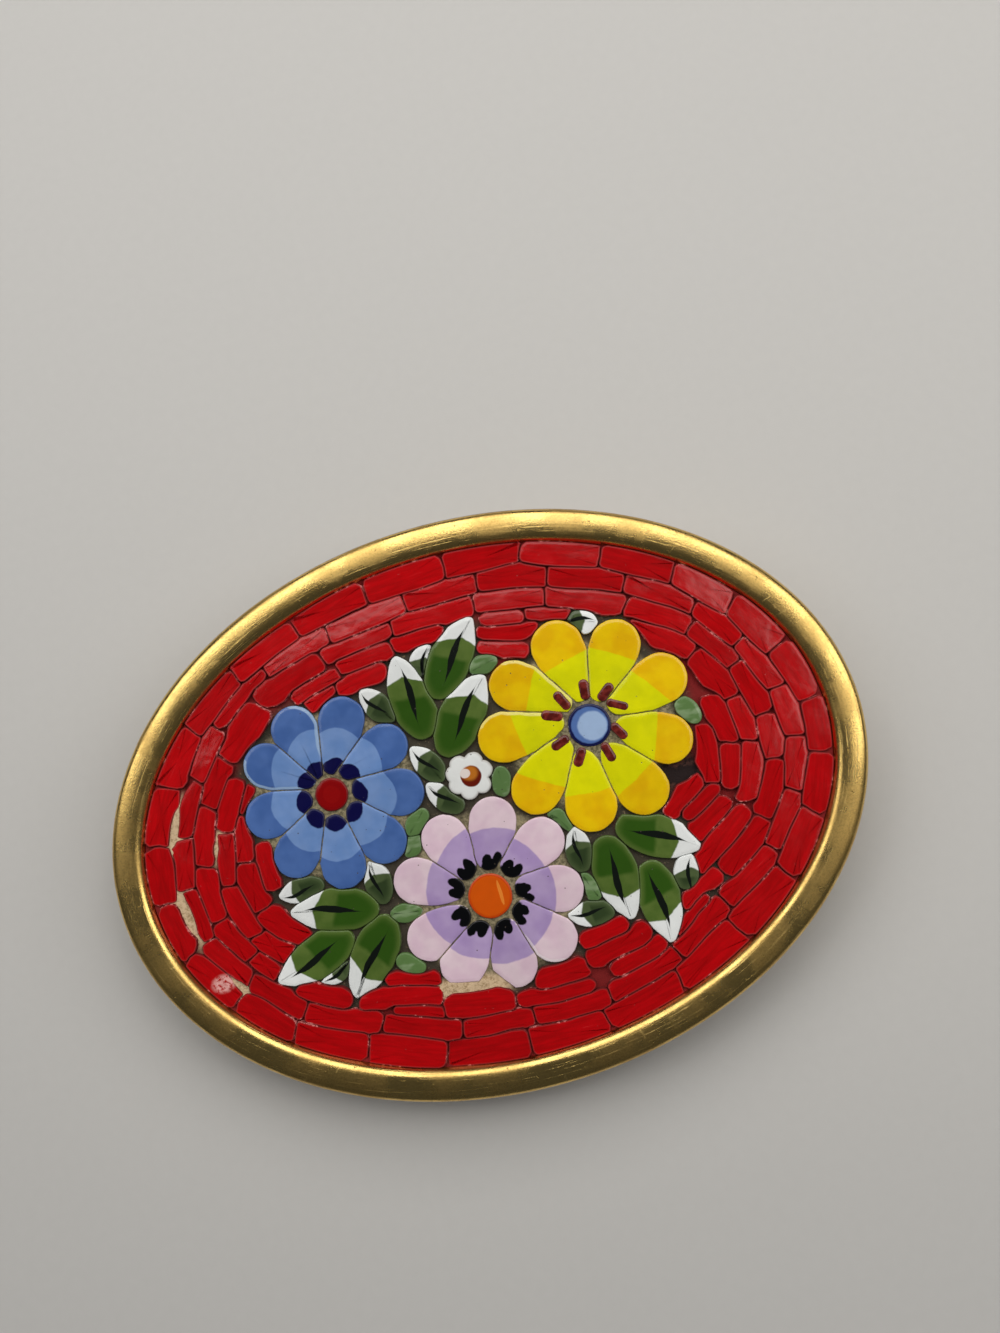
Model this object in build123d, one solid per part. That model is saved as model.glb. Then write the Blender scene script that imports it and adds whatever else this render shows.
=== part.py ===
from build123d import *
import math
import os
import random
from collections import namedtuple

# Micromosaic brooch: an oval brass frame that holds a bed of cement set with
# coloured glass. Lengths are in millimetres. The brooch is first built level,
# face up, with its back edge at height 0, +X along its long axis and +Y towards
# the top of the picture. At the end it is laid down on its pin fitting.

# Driving dimensions of the frame
field_length = 40.0
field_width = 28.8
bead_width = 1.95
bead_height = 1.15
crest_land = 0.34
lip_rise = 0.5
foot_inset = 0.4
seat_overlap = 0.55

# Driving dimensions of the layers, from the back to the face
plate_recess = 1.3
plate_thickness = 0.5
bed_thickness = 1.0
stone_thickness = 0.8

# Clearances
seat_gap = 0.05
rim_gap = 0.12
stone_gap = 0.12

# Driving dimensions of the flowers
blue_petal_reach = 5.35
blue_petal_width = 2.6
blue_heart_diameter = 1.85
yellow_petal_reach = 6.2
yellow_petal_width = 2.9
yellow_heart_diameter = 2.4
lilac_petal_reach = 5.45
lilac_petal_width = 2.6
lilac_heart_diameter = 2.45
petal_root_width = 1.3
heart_gap = 0.25
flower_gap = 3.75

# Driving dimensions of the floret, the leaves and the small stones
floret_diameter = 2.7
floret_lobe_diameter = 1.02
leaf_width = 2.3
leaf_tip_radius = 0.22
leaf_base_radius = 0.75
leaf_belly_share = 0.46
oval_nudges = 6
small_leaf_width = 1.3
small_leaf_tip_radius = 0.14
small_leaf_base_radius = 0.4
oval_length = 1.58
oval_width = 0.93

# Driving dimensions of the red tesserae
tessera_length = 4.6
tessera_width = 1.22
tessera_corner = 0.2
shortest_tessera = 0.9
narrowest_tessera = 0.42
filler_length = 3.2
wide_gap = 1.0
nip_share = 1 / 3
fewest_joints = 3
cutting_seed = 11

# Driving dimensions of the pin fitting
pin_height = 5.0
pin_span = 26.0
stem_diameter = 0.9
stem_standoff = 0.9
stem_overhang = 1.6
stem_point_length = 2.4
stem_point_diameter = 0.2
catch_clearance = 0.15
catch_wall = 0.45
catch_length = 1.8
hinge_length = 2.4
base_width = 2.8
base_thickness = 0.6
base_end = 1.2

# How many corners stand for a rounded stone where its clearance is worked out,
# and the length below which two corners count as one
outline_corners = 44
least_length = 1e-6

# Half axes of the picture's oval
half_length = field_length / 2
half_width = field_width / 2

# The bouquet's measures along and across the picture: from the blue to the yellow
# flower, which stand the flower gap apart, and down from those to the lilac one
bouquet_spread = blue_petal_reach + yellow_petal_reach + flower_gap
bouquet_rise = yellow_petal_reach + lilac_petal_reach

# Heights of the layers
plate_top = plate_recess + plate_thickness
bed_bottom = plate_top + seat_gap
bed_top = bed_bottom + bed_thickness
stone_bottom = bed_top + seat_gap
stone_top = stone_bottom + stone_thickness
rim_crest = stone_top + lip_rise
bead_base = rim_crest - bead_height

Petal = namedtuple("Petal", "heading lean reach width")
Chip = namedtuple("Chip", "petal bearing depth")
Leaf = namedtuple("Leaf", "tip_x tip_y base_x base_y width bend")
Oval = namedtuple("Oval", "x y heading length width")
Bar = namedtuple("Bar", "x y heading length width")
Course = namedtuple("Course", "start spread")
Spot = namedtuple("Spot", "x y heading length width")

# Petals anticlockwise from the top. Heading is the way that the petal points and
# lean is how far its root stands off that heading, both in degrees. Reach and
# width are shares of the flower's own petal reach and width.
blue_petals = [
    Petal(105, 6, 1.06, 1.02),
    Petal(141, -9, 1.02, 0.98),
    Petal(183, -5, 0.97, 0.98),
    Petal(224, -4, 0.99, 0.98),
    Petal(264, -4, 1.01, 0.98),
    Petal(303, 6, 0.99, 1.00),
    Petal(346, 8, 0.99, 1.02),
    Petal(26, 13, 1.01, 0.98),
    Petal(67, 7, 1.05, 1.01),
]
yellow_petals = [
    Petal(96, -5, 1.02, 1.02),
    Petal(136, -10, 1.01, 0.98),
    Petal(172, -12, 1.03, 0.98),
    Petal(214, -9, 0.99, 0.98),
    Petal(255, -9, 0.97, 0.99),
    Petal(294, -2, 0.99, 1.01),
    Petal(334, 6, 0.95, 0.96),
    Petal(17, 4, 1.02, 0.99),
    Petal(56, 1, 1.01, 0.97),
]
lilac_petals = [
    Petal(72, 5, 1.02, 1.02),
    Petal(113, 4, 1.00, 1.00),
    Petal(153, 1, 1.02, 0.99),
    Petal(199, -1, 1.00, 0.99),
    Petal(232, 6, 0.99, 1.00),
    Petal(274, 6, 0.98, 0.97),
    Petal(311, 8, 1.03, 1.01),
    Petal(350, 8, 0.97, 0.99),
    Petal(31, 7, 1.02, 1.00),
]

# Where an old knock took the end off a lilac petal. Bearing is the way that the
# broken edge faces, depth its share of the petal's width.
lilac_chips = [
    Chip(5, 258, 0.11),
    Chip(6, 217, 0.11),
]

# Flower centres, as shares of the bouquet's spread and rise
blue_centre = (-0.545, 0.239)
yellow_centre = (0.454, 0.215)
lilac_centre = (-0.076, -0.447)
floret_centre = (-0.027, 0.141)

# Headings of the floret's lobes, in degrees
floret_lobes = [8, 60, 122, 160, 203, 254, 309]

# Leaves from tip to base. Places are shares of the bouquet's spread and rise, width
# is a share of the named width, and bend is the share of the half width by which
# the left side bulges more than the right.
large_leaves = [
    Leaf(0.138, 0.890, -0.086, 0.534, 1.00, 0.08),
    Leaf(-0.178, 0.803, -0.144, 0.356, 1.03, -0.04),
    Leaf(0.123, 0.603, -0.110, 0.252, 1.06, 0.04),
    Leaf(-0.815, -0.269, -0.470, -0.366, 0.98, -0.10),
    Leaf(-0.925, -0.567, -0.595, -0.423, 0.98, 0.10),
    Leaf(-0.664, -0.738, -0.448, -0.393, 1.02, 0.06),
    Leaf(0.720, -0.503, 0.430, -0.272, 0.98, 0.06),
    Leaf(0.405, -0.735, 0.384, -0.300, 1.00, 0.00),
    Leaf(0.524, -0.898, 0.516, -0.471, 0.95, 0.05),
]
small_leaf_rows = [
    Leaf(-0.336, 0.692, -0.246, 0.497, 1.02, 0.00),
    Leaf(-0.047, 0.811, -0.107, 0.682, 1.00, 0.00),
    Leaf(-0.210, 0.347, -0.120, 0.151, 0.98, 0.00),
    Leaf(-0.191, 0.151, -0.086, -0.013, 0.96, 0.00),
    Leaf(0.585, 0.688, 0.484, 0.735, 0.96, 0.00),
    Leaf(0.294, -0.240, 0.277, -0.463, 1.00, 0.00),
    Leaf(0.183, -0.644, 0.353, -0.676, 0.98, 0.00),
    Leaf(0.671, -0.505, 0.622, -0.669, 0.92, 0.00),
    Leaf(-0.833, -0.172, -0.662, -0.172, 0.98, 0.00),
    Leaf(-0.468, -0.125, -0.460, -0.345, 1.04, 0.00),
    Leaf(-0.775, -0.616, -0.653, -0.571, 0.92, 0.00),
]

# Pale green ovals: place as for the leaves, heading in degrees, length and width
# as shares of the named ones
oval_rows = [
    Oval(0.128, 0.639, 8, 0.95, 0.98),
    Oval(0.799, 0.159, 116, 1.00, 1.02),
    Oval(0.074, 0.073, 80, 0.95, 1.02),
    Oval(0.250, -0.187, 128, 1.00, 0.90),
    Oval(0.290, -0.558, 108, 1.05, 0.92),
    Oval(-0.256, -0.009, 40, 1.00, 1.02),
    Oval(-0.307, -0.119, 62, 0.92, 0.98),
    Oval(-0.381, -0.434, 172, 1.02, 0.92),
    Oval(-0.434, -0.618, 142, 1.02, 0.88),
]

# Red tesserae that stand at their own angle beside the bouquet: place as for the
# leaves, heading in degrees, length and width as shares of the named ones
odd_bars = [
    Bar(-0.327, 0.742, 11, 0.64, 0.70),
    Bar(-0.290, 0.835, 5, 0.72, 0.76),
    Bar(-0.490, 0.764, 15, 0.66, 0.66),
    Bar(-0.582, 0.835, 17, 0.90, 0.86),
    Bar(-0.079, 0.863, -2, 0.66, 0.64),
    Bar(0.255, 0.843, -8, 0.54, 0.54),
    Bar(0.259, 0.775, -10, 0.74, 0.60),
    Bar(0.225, 0.701, -20, 0.62, 0.66),
    Bar(0.713, -0.242, 36, 0.62, 0.62),
    Bar(0.774, -0.282, 35, 0.52, 0.50),
    Bar(0.779, -0.366, 36, 0.60, 0.90),
    Bar(0.797, -0.488, 34, 0.92, 0.80),
    Bar(0.686, -0.698, 21, 0.62, 0.66),
    Bar(0.287, -0.752, 8, 0.62, 0.58),
    Bar(0.329, -0.823, 10, 0.82, 0.62),
    Bar(0.107, -0.885, 3, 0.66, 0.80),
    Bar(-0.232, -0.936, -9, 0.90, 0.86),
    Bar(0.065, -0.968, 2, 0.94, 0.68),
    Bar(0.393, -0.902, 12, 0.70, 0.66),
    Bar(-0.438, -0.717, -17, 0.66, 0.80),
    Bar(-0.497, -0.803, -12, 0.96, 0.88),
    Bar(-0.765, -0.683, -32, 0.66, 0.80),
]

# Bare spots where no stone was laid and the cement shows: place and heading as
# above, length and width as shares of the tessera's. Those beside the bouquet are
# placed by the bouquet, those out in the red ground by the picture's oval.
bouquet_spots = [
    Spot(-0.235, -0.845, -8, 0.70, 0.28),
    Spot(0.726, -0.129, 0, 0.32, 0.80),
]
ground_spots = [
    Spot(-0.885, 0.233, 66, 0.42, 0.26),
    Spot(-0.912, -0.104, 98, 0.58, 0.44),
    Spot(-0.782, 0.111, 72, 0.18, 0.16),
    Spot(-0.812, -0.437, 128, 0.26, 0.28),
]

# Courses of red tesserae from the rim inwards: where the first joint stands, in
# degrees, and how unevenly the lengths are cut, as a share of the length
courses = [
    Course(86, 0.06),
    Course(95, 0.08),
    Course(82, 0.10),
    Course(98, 0.14),
    Course(88, 0.18),
    Course(93, 0.20),
    Course(84, 0.20),
]


def field_point(share_x, share_y):
    """A point given as shares of the picture's half length and half width."""
    return (share_x * half_length, share_y * half_width)


def bouquet_point(share_x, share_y):
    """A point given as shares of the bouquet's spread and rise."""
    return (share_x * bouquet_spread, share_y * bouquet_rise)


def polar(centre, radius, degrees):
    """The point at this distance and heading from a centre."""
    angle = math.radians(degrees)
    return (centre[0] + radius * math.cos(angle), centre[1] + radius * math.sin(angle))


def turns_left(first, second, third):
    """Whether the way from the first point to the third turns left at the second."""
    ahead = (second[0] - first[0], second[1] - first[1])
    beside = (third[0] - first[0], third[1] - first[1])
    return ahead[0] * beside[1] - ahead[1] * beside[0] > 0


def outline_of(face):
    """The convex outline round a face, as corners running anticlockwise."""
    wire = face.faces()[0].outer_wire()
    places = [wire.position_at(step / outline_corners) for step in range(outline_corners)]
    points = sorted((place.X, place.Y) for place in places)
    lower = []
    upper = []
    for chain, way in ((lower, points), (upper, reversed(points))):
        for point in way:
            while len(chain) > 1 and not turns_left(chain[-2], chain[-1], point):
                chain.pop()
            chain.append(point)
    return lower[:-1] + upper[:-1]


def middle(points):
    """Mean of an outline's corners."""
    return (sum(p[0] for p in points) / len(points), sum(p[1] for p in points) / len(points))


def radius_about(points, centre):
    """Distance from a centre to the outline's furthest corner."""
    return max(math.hypot(x - centre[0], y - centre[1]) for x, y in points)


def side_lines(points):
    """Outward unit normal and offset of each side of an anticlockwise outline."""
    lines = []
    for (x0, y0), (x1, y1) in zip(points, points[1:] + points[:1]):
        length = math.hypot(x1 - x0, y1 - y0)
        if length > least_length:
            nx = (y1 - y0) / length
            ny = (x0 - x1) / length
            lines.append((nx, ny, nx * x0 + ny * y0))
    return lines


def parting_line(laid, new):
    """The line that best parts two convex outlines, and the gap along it.

    The line touches the laid outline, and its normal points at the new one."""
    best = None
    for nx, ny, offset in side_lines(laid):
        gap = min(nx * x + ny * y for x, y in new) - offset
        if best is None or gap > best[0]:
            best = (gap, nx, ny, offset)
    for nx, ny, offset in side_lines(new):
        reach = min(nx * x + ny * y for x, y in laid)
        gap = reach - offset
        if gap > best[0]:
            best = (gap, -nx, -ny, -reach)
    return best


def kept_beyond(points, nx, ny, offset):
    """The part of a convex outline where the normal's offset is at least this."""
    kept = []
    for (x0, y0), (x1, y1) in zip(points, points[1:] + points[:1]):
        here = nx * x0 + ny * y0 - offset
        there = nx * x1 + ny * y1 - offset
        if here >= 0:
            kept.append((x0, y0))
        if here * there < 0:
            share = here / (here - there)
            kept.append((x0 + share * (x1 - x0), y0 + share * (y1 - y0)))
    return kept


def rim_cuts(points):
    """Cuts that keep an outline the rim gap inside the picture's edge."""
    cuts = []
    long_axis = half_length - rim_gap
    short_axis = half_width - rim_gap
    for x, y in points:
        if (x / long_axis) ** 2 + (y / short_axis) ** 2 > 1:
            turn = math.atan2(y / short_axis, x / long_axis)
            nx = math.cos(turn) / long_axis
            ny = math.sin(turn) / short_axis
            size = math.hypot(nx, ny)
            cuts.append((-nx / size, -ny / size, -1 / size))
    return cuts


def neighbour_cuts(points, laid):
    """Cuts that keep an outline the stone gap clear of the stones laid before."""
    cuts = []
    for other in laid:
        if not points:
            break
        centre = middle(points)
        other_centre = middle(other)
        apart = math.hypot(centre[0] - other_centre[0], centre[1] - other_centre[1])
        reach = radius_about(points, centre) + radius_about(other, other_centre)
        if apart > reach + stone_gap:
            continue
        gap, nx, ny, offset = parting_line(other, points)
        if gap < stone_gap - least_length:
            cut = (nx, ny, offset + stone_gap)
            cuts.append(cut)
            points = kept_beyond(points, *cut)
    return cuts


def cut_face(face, cuts):
    """A face less what lies beyond each cutting line."""
    reach = 2 * field_length
    for nx, ny, offset in cuts:
        turn = math.degrees(math.atan2(ny, nx))
        middle_x = nx * (offset - reach / 2)
        middle_y = ny * (offset - reach / 2)
        face = face - Pos(middle_x, middle_y) * Rot(0, 0, turn) * Rectangle(reach, reach)
    return face


def egg_face(root, head, root_radius, head_radius):
    """An egg: a small and a large round end joined by two sides tangent to both."""
    length = math.hypot(head[0] - root[0], head[1] - root[1])
    side_radius = (length**2 / (head_radius - root_radius) + root_radius + head_radius) / 2
    drop = side_radius - head_radius
    touch_x = -length / (side_radius - root_radius) * root_radius
    touch_y = drop / (side_radius - root_radius) * root_radius
    touch_turn = math.atan2(touch_y + drop, touch_x - length)
    half_turn = (touch_turn + math.pi / 2) / 2
    side_x = length + side_radius * math.cos(half_turn)
    side_y = side_radius * math.sin(half_turn) - drop
    left_side = ThreePointArc((touch_x, touch_y), (side_x, side_y), (length, head_radius))
    right_side = ThreePointArc((touch_x, -touch_y), (side_x, -side_y), (length, -head_radius))
    head_end = ThreePointArc(
        (length, head_radius), (length + head_radius, 0), (length, -head_radius)
    )
    root_end = ThreePointArc((touch_x, touch_y), (-root_radius, 0), (touch_x, -touch_y))
    face = make_face([left_side, head_end, right_side, root_end])
    heading = math.degrees(math.atan2(head[1] - root[1], head[0] - root[0]))
    return Pos(*root) * Rot(0, 0, heading) * face


def leaf_face(row, width, tip_radius, base_radius):
    """A leaf: four arcs that meet at the belly, with the tip and base rounded."""
    tip = bouquet_point(row.tip_x, row.tip_y)
    base = bouquet_point(row.base_x, row.base_y)
    length = math.hypot(tip[0] - base[0], tip[1] - base[1])
    belly = leaf_belly_share * length
    left = width * row.width * (1 + row.bend) / 2
    right = width * row.width * (1 - row.bend) / 2
    edges = [
        TangentArc([(belly, left), (length, 0)], tangent=(1, 0)),
        TangentArc([(belly, left), (0, 0)], tangent=(-1, 0)),
        TangentArc([(belly, -right), (length, 0)], tangent=(1, 0)),
        TangentArc([(belly, -right), (0, 0)], tangent=(-1, 0)),
    ]
    face = make_face(edges)
    corners = face.vertices().sort_by(Axis.X)
    face = fillet(corners[-1], tip_radius)
    corners = face.vertices().sort_by(Axis.X)
    face = fillet(corners[0], base_radius)
    heading = math.degrees(math.atan2(tip[1] - base[1], tip[0] - base[0]))
    return Pos(*base) * Rot(0, 0, heading) * face


def oval_face(row):
    """A pale green oval at its place and heading."""
    place = bouquet_point(row.x, row.y)
    face = Ellipse(oval_length * row.length / 2, oval_width * row.width / 2)
    return Pos(*place) * Rot(0, 0, row.heading) * face


def floret_face():
    """The white floret: a round middle with a ring of lobes."""
    centre = bouquet_point(*floret_centre)
    lobe_radius = floret_lobe_diameter / 2
    ring = floret_diameter / 2 - lobe_radius
    face = Pos(*centre) * Circle(ring)
    for heading in floret_lobes:
        face = face + Pos(*polar(centre, ring, heading)) * Circle(lobe_radius)
    return face


def tessera_outline(centre, heading, length, width):
    """A bar with its four corners nipped off."""
    corner = min(tessera_corner, width * nip_share, length * nip_share)
    x = length / 2
    y = width / 2
    corners = [
        (x, y - corner),
        (x - corner, y),
        (corner - x, y),
        (-x, y - corner),
        (-x, corner - y),
        (corner - x, -y),
        (x - corner, -y),
        (x, corner - y),
    ]
    angle = math.radians(heading)
    outline = []
    for along, across in corners:
        outline.append((
            centre[0] + along * math.cos(angle) - across * math.sin(angle),
            centre[1] + along * math.sin(angle) + across * math.cos(angle),
        ))
    return outline


def spot_outline(place, row):
    """A bare spot: a lozenge that no stone is laid on."""
    along = tessera_length * row.length / 2
    across = tessera_width * row.width / 2
    tips = [(along, 0), (across, 90), (along, 180), (across, 270)]
    return [polar(place, reach, row.heading + turn) for reach, turn in tips]


def without_short_sides(points):
    """The outline less each corner that stands close to the one before it."""
    shortest = tessera_corner / 2
    kept = []
    for point in points:
        if not kept or math.dist(point, kept[-1]) > shortest:
            kept.append(point)
    if len(kept) > 1 and math.dist(kept[0], kept[-1]) <= shortest:
        kept.pop()
    return kept


def narrowest_width(points):
    """The least width of a convex outline, measured square to each of its sides."""
    widths = []
    for nx, ny, offset in side_lines(points):
        widths.append(offset - min(nx * x + ny * y for x, y in points))
    return min(widths)


def stone_solid(face):
    """A stone of the common thickness, flat on its face as it was ground."""
    return extrude(Pos(0, 0, stone_bottom) * face, stone_thickness)


def lay(face, laid):
    """Lay a stone beside those already laid, nipped back where it would touch."""
    points = outline_of(face)
    cuts = rim_cuts(points)
    for cut in cuts:
        points = kept_beyond(points, *cut)
    cuts = cuts + neighbour_cuts(points, laid)
    if cuts:
        face = cut_face(face, cuts)
    laid.append(outline_of(face))
    return stone_solid(face)


def nudged_clear(face, laid):
    """A small stone moved off the neighbours that it would touch, step by step."""
    for nudge in range(oval_nudges):
        points = outline_of(face)
        centre = middle(points)
        move_x = 0
        move_y = 0
        for other in laid:
            reach = radius_about(points, centre) + radius_about(other, middle(other))
            if math.dist(centre, middle(other)) > reach + stone_gap:
                continue
            gap, nx, ny, offset = parting_line(other, points)
            if gap < stone_gap:
                move_x += nx * (stone_gap - gap)
                move_y += ny * (stone_gap - gap)
        face = Pos(move_x, move_y) * face
    return face


def petal_parting(near, far):
    """The cut that keeps a petal half the stone gap off the line to its neighbour.

    Each petal is its root's and head's centres and its head's radius. The line
    runs midway between the two roots and midway between the two heads."""
    start = ((near[0][0] + far[0][0]) / 2, (near[0][1] + far[0][1]) / 2)
    apart = math.dist(near[1], far[1])
    share = (apart + near[2] - far[2]) / 2 / apart
    end = (near[1][0] + share * (far[1][0] - near[1][0]),
           near[1][1] + share * (far[1][1] - near[1][1]))
    length = math.dist(start, end)
    nx = (start[1] - end[1]) / length
    ny = (end[0] - start[0]) / length
    if nx * (near[1][0] - start[0]) + ny * (near[1][1] - start[1]) < 0:
        nx = -nx
        ny = -ny
    return (nx, ny, nx * start[0] + ny * start[1] + stone_gap / 2)


def chip_cut(chip, head, head_radius):
    """The cut that takes a chip off a petal's head."""
    angle = math.radians(chip.bearing)
    nx = -math.cos(angle)
    ny = -math.sin(angle)
    left = head_radius * (1 - 2 * chip.depth)
    return (nx, ny, nx * head[0] + ny * head[1] - left)


def flower(centre_share, petals, reach, width, heart_diameter, chips, laid):
    """A flower's heart and petals, as a list of solids with the heart first."""
    centre = bouquet_point(*centre_share)
    solids = [lay(Pos(*centre) * Circle(heart_diameter / 2), laid)]
    root_radius = petal_root_width / 2
    root_distance = heart_diameter / 2 + heart_gap + root_radius
    places = []
    for row in petals:
        head_radius = width * row.width / 2
        root = polar(centre, root_distance, row.heading + row.lean)
        head = polar(centre, reach * row.reach - head_radius, row.heading)
        places.append((root, head, head_radius))
    for number, place in enumerate(places):
        after = places[(number + 1) % len(places)]
        cuts = [petal_parting(place, places[number - 1]), petal_parting(place, after)]
        cuts += [chip_cut(chip, *place[1:]) for chip in chips if chip.petal == number + 1]
        face = egg_face(place[0], place[1], root_radius, place[2])
        solids.append(lay(cut_face(face, cuts), laid))
    return solids


def lay_bar(centre, heading, length, width, laid):
    """A red bar nipped to fit its place, or nothing where too little is left."""
    points = tessera_outline(centre, heading, length, width)
    for cut in rim_cuts(points):
        points = kept_beyond(points, *cut)
    for cut in neighbour_cuts(points, laid):
        points = kept_beyond(points, *cut)
    points = without_short_sides(points)
    if len(points) < 4 or narrowest_width(points) < narrowest_tessera:
        return []
    if 2 * radius_about(points, middle(points)) < shortest_tessera:
        return []
    laid.append(points)
    return [stone_solid(make_face(Polyline(*points, close=True)))]


def lay_tesserae(laid):
    """The red ground: odd bars beside the bouquet, then courses from the rim in."""
    solids = []
    for row in odd_bars:
        length = tessera_length * row.length
        width = tessera_width * row.width
        solids += lay_bar(bouquet_point(row.x, row.y), row.heading, length, width, laid)
    chooser = random.Random(cutting_seed)
    for number, course in enumerate(courses):
        depth = rim_gap + (number + 0.5) * tessera_width
        long_axis = half_length - depth
        short_axis = half_width - depth
        count = max(fewest_joints, round(2 * math.pi * long_axis / tessera_length))
        turns = []
        for step in range(count):
            shift = chooser.uniform(-course.spread, course.spread) / 2
            turns.append(math.radians(course.start + 360 * (step + shift) / count))
        joints = [(long_axis * math.cos(turn), short_axis * math.sin(turn)) for turn in turns]
        for start, end in zip(joints, joints[1:] + joints[:1]):
            centre = ((start[0] + end[0]) / 2, (start[1] + end[1]) / 2)
            heading = math.degrees(math.atan2(end[1] - start[1], end[0] - start[0]))
            length = math.dist(start, end) - stone_gap
            solids += lay_bar(centre, heading, length, tessera_width, laid)
    return solids


def clearance(point, outline):
    """How far a point stands outside a convex outline, less than nothing inside."""
    return max(nx * point[0] + ny * point[1] - offset for nx, ny, offset in outline)


def fill_gaps(laid, bouquet_count):
    """Red chips cut to fit what the courses left open, the widest gaps first.

    The gaps inside the bouquet stay open: there the cement shows."""
    outlines = [side_lines(points) for points in laid]
    rows = range(-math.floor(half_width / narrowest_tessera),
                 math.ceil(half_width / narrowest_tessera))
    columns = range(-math.floor(half_length / narrowest_tessera),
                    math.ceil(half_length / narrowest_tessera))
    least = stone_gap + narrowest_tessera / 2
    open_points = []
    for row in rows:
        for column in columns:
            point = (column * narrowest_tessera, row * narrowest_tessera)
            share = math.hypot(point[0] / half_length, point[1] / half_width)
            if share == 0 or share > 1 - least / half_width:
                continue
            room = least + wide_gap
            for outline in outlines:
                room = min(room, clearance(point, outline))
                if room < least:
                    break
            if room < least:
                continue
            steps = math.ceil((1 / share - 1) * half_width / narrowest_tessera)
            hidden = False
            for step in range(steps):
                out = 1 + (1 / share - 1) * step / steps
                place = (point[0] * out, point[1] * out)
                for outline in outlines[:bouquet_count]:
                    hidden = hidden or clearance(place, outline) < 0
            if not hidden:
                open_points.append((room, point))
    solids = []
    for room, point in sorted(open_points, reverse=True):
        chips = [side_lines(points) for points in laid[len(outlines):]]
        if any(clearance(point, chip) < least for chip in chips):
            continue
        turn = math.atan2(point[1] / half_width, point[0] / half_length)
        heading = math.degrees(math.atan2(half_width * math.cos(turn),
                                          -half_length * math.sin(turn)))
        solids += lay_bar(point, heading, filler_length, tessera_width, laid)
    return solids


def oval_wire(outset, height):
    """The picture's oval, widened by an outset, at a height."""
    return Pos(0, 0, height) * Ellipse(half_length + outset, half_width + outset)


def bead_section(turn):
    """Outset and height of the bead's surface at a turn from its outer edge."""
    angle = math.radians(turn)
    outset = bead_width * (1 + math.cos(angle)) / 2
    return (outset, bead_base + bead_height * math.sin(angle))


def bezel_rim():
    """The rim: a half-round bead on an outer wall, with a rebate at the back."""
    land_turn = math.degrees(math.asin(crest_land / bead_width))
    outer_turns = [0, 30, 60, 90 - land_turn]
    inner_turns = [180 - turn for turn in reversed(outer_turns)]
    wall = loft([oval_wire(bead_width - foot_inset, 0), oval_wire(bead_width, bead_base)])
    outer = loft([oval_wire(*bead_section(turn)) for turn in outer_turns])
    inner = loft([oval_wire(*bead_section(turn)) for turn in inner_turns])
    well = extrude(oval_wire(0, plate_top), bead_base - plate_top)
    rebate = extrude(oval_wire(seat_overlap, 0), plate_top + seat_gap)
    return wall + outer - inner - well - rebate


def back_plate():
    """The plate that closes the back, seated in the rim's rebate."""
    return extrude(oval_wire(seat_overlap - seat_gap, plate_recess), plate_thickness)


def cement_bed():
    """The bed of cement under the stones."""
    return extrude(oval_wire(-seat_gap, bed_bottom), bed_thickness)


stem_radius = stem_diameter / 2
barrel_radius = stem_radius + catch_clearance + catch_wall
base_bottom = plate_recess - seat_gap - base_thickness
stem_height = base_bottom - stem_standoff - stem_radius


def along_pin(radius, length, start):
    """A round bar on the pin's line from a place along the brooch."""
    turned = Pos(start + length / 2, pin_height, stem_height) * Rot(0, 90, 0)
    return turned * Cylinder(radius, length)


def pin_fitting():
    """Base bar, hinge, stem and catch in one plain piece."""
    left = -pin_span / 2
    right = pin_span / 2
    bar_length = pin_span + hinge_length / 2 + catch_length / 2 + 2 * base_end
    bar_middle = (catch_length - hinge_length) / 4
    bar = Pos(bar_middle, pin_height, base_bottom + base_thickness / 2) * Box(
        bar_length, base_width, base_thickness
    )
    post_height = base_bottom - stem_height
    hinge = along_pin(barrel_radius, hinge_length, left - hinge_length / 2)
    hinge_post = Pos(left, pin_height, stem_height + post_height / 2) * Box(
        hinge_length, 2 * barrel_radius, post_height
    )
    catch = along_pin(barrel_radius, catch_length, right - catch_length / 2)
    bore_radius = stem_radius + catch_clearance
    bore = along_pin(bore_radius, catch_length, right - catch_length / 2)
    mouth = Pos(right, pin_height - barrel_radius / 2, stem_height) * Box(
        catch_length, barrel_radius, 2 * bore_radius
    )
    post_bottom = stem_height + bore_radius
    catch_post = Pos(right, pin_height, (post_bottom + base_bottom) / 2) * Box(
        catch_length, barrel_radius, base_bottom - post_bottom
    )
    shank_length = pin_span + catch_length / 2 + stem_overhang - stem_point_length
    shank = along_pin(stem_radius, shank_length, left)
    point_start = left + shank_length
    point = (
        Pos(point_start + stem_point_length / 2, pin_height, stem_height)
        * Rot(0, 90, 0)
        * Cone(stem_radius, stem_point_diameter / 2, stem_point_length)
    )
    return bar + hinge_post + hinge + (catch - bore - mouth) + catch_post + shank + point


def resting_lean():
    """How far the face leans when the brooch lies on its hinge, catch and rim.

    The rim's foot touches at its lowest point in the picture, and the hinge and
    catch are barrels of one radius on the pin's line."""
    foot = half_width + bead_width - foot_inset
    run = pin_height + foot
    line_length = math.hypot(run, stem_height)
    return math.degrees(math.atan2(-stem_height, run) + math.asin(barrel_radius / line_length))


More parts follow.
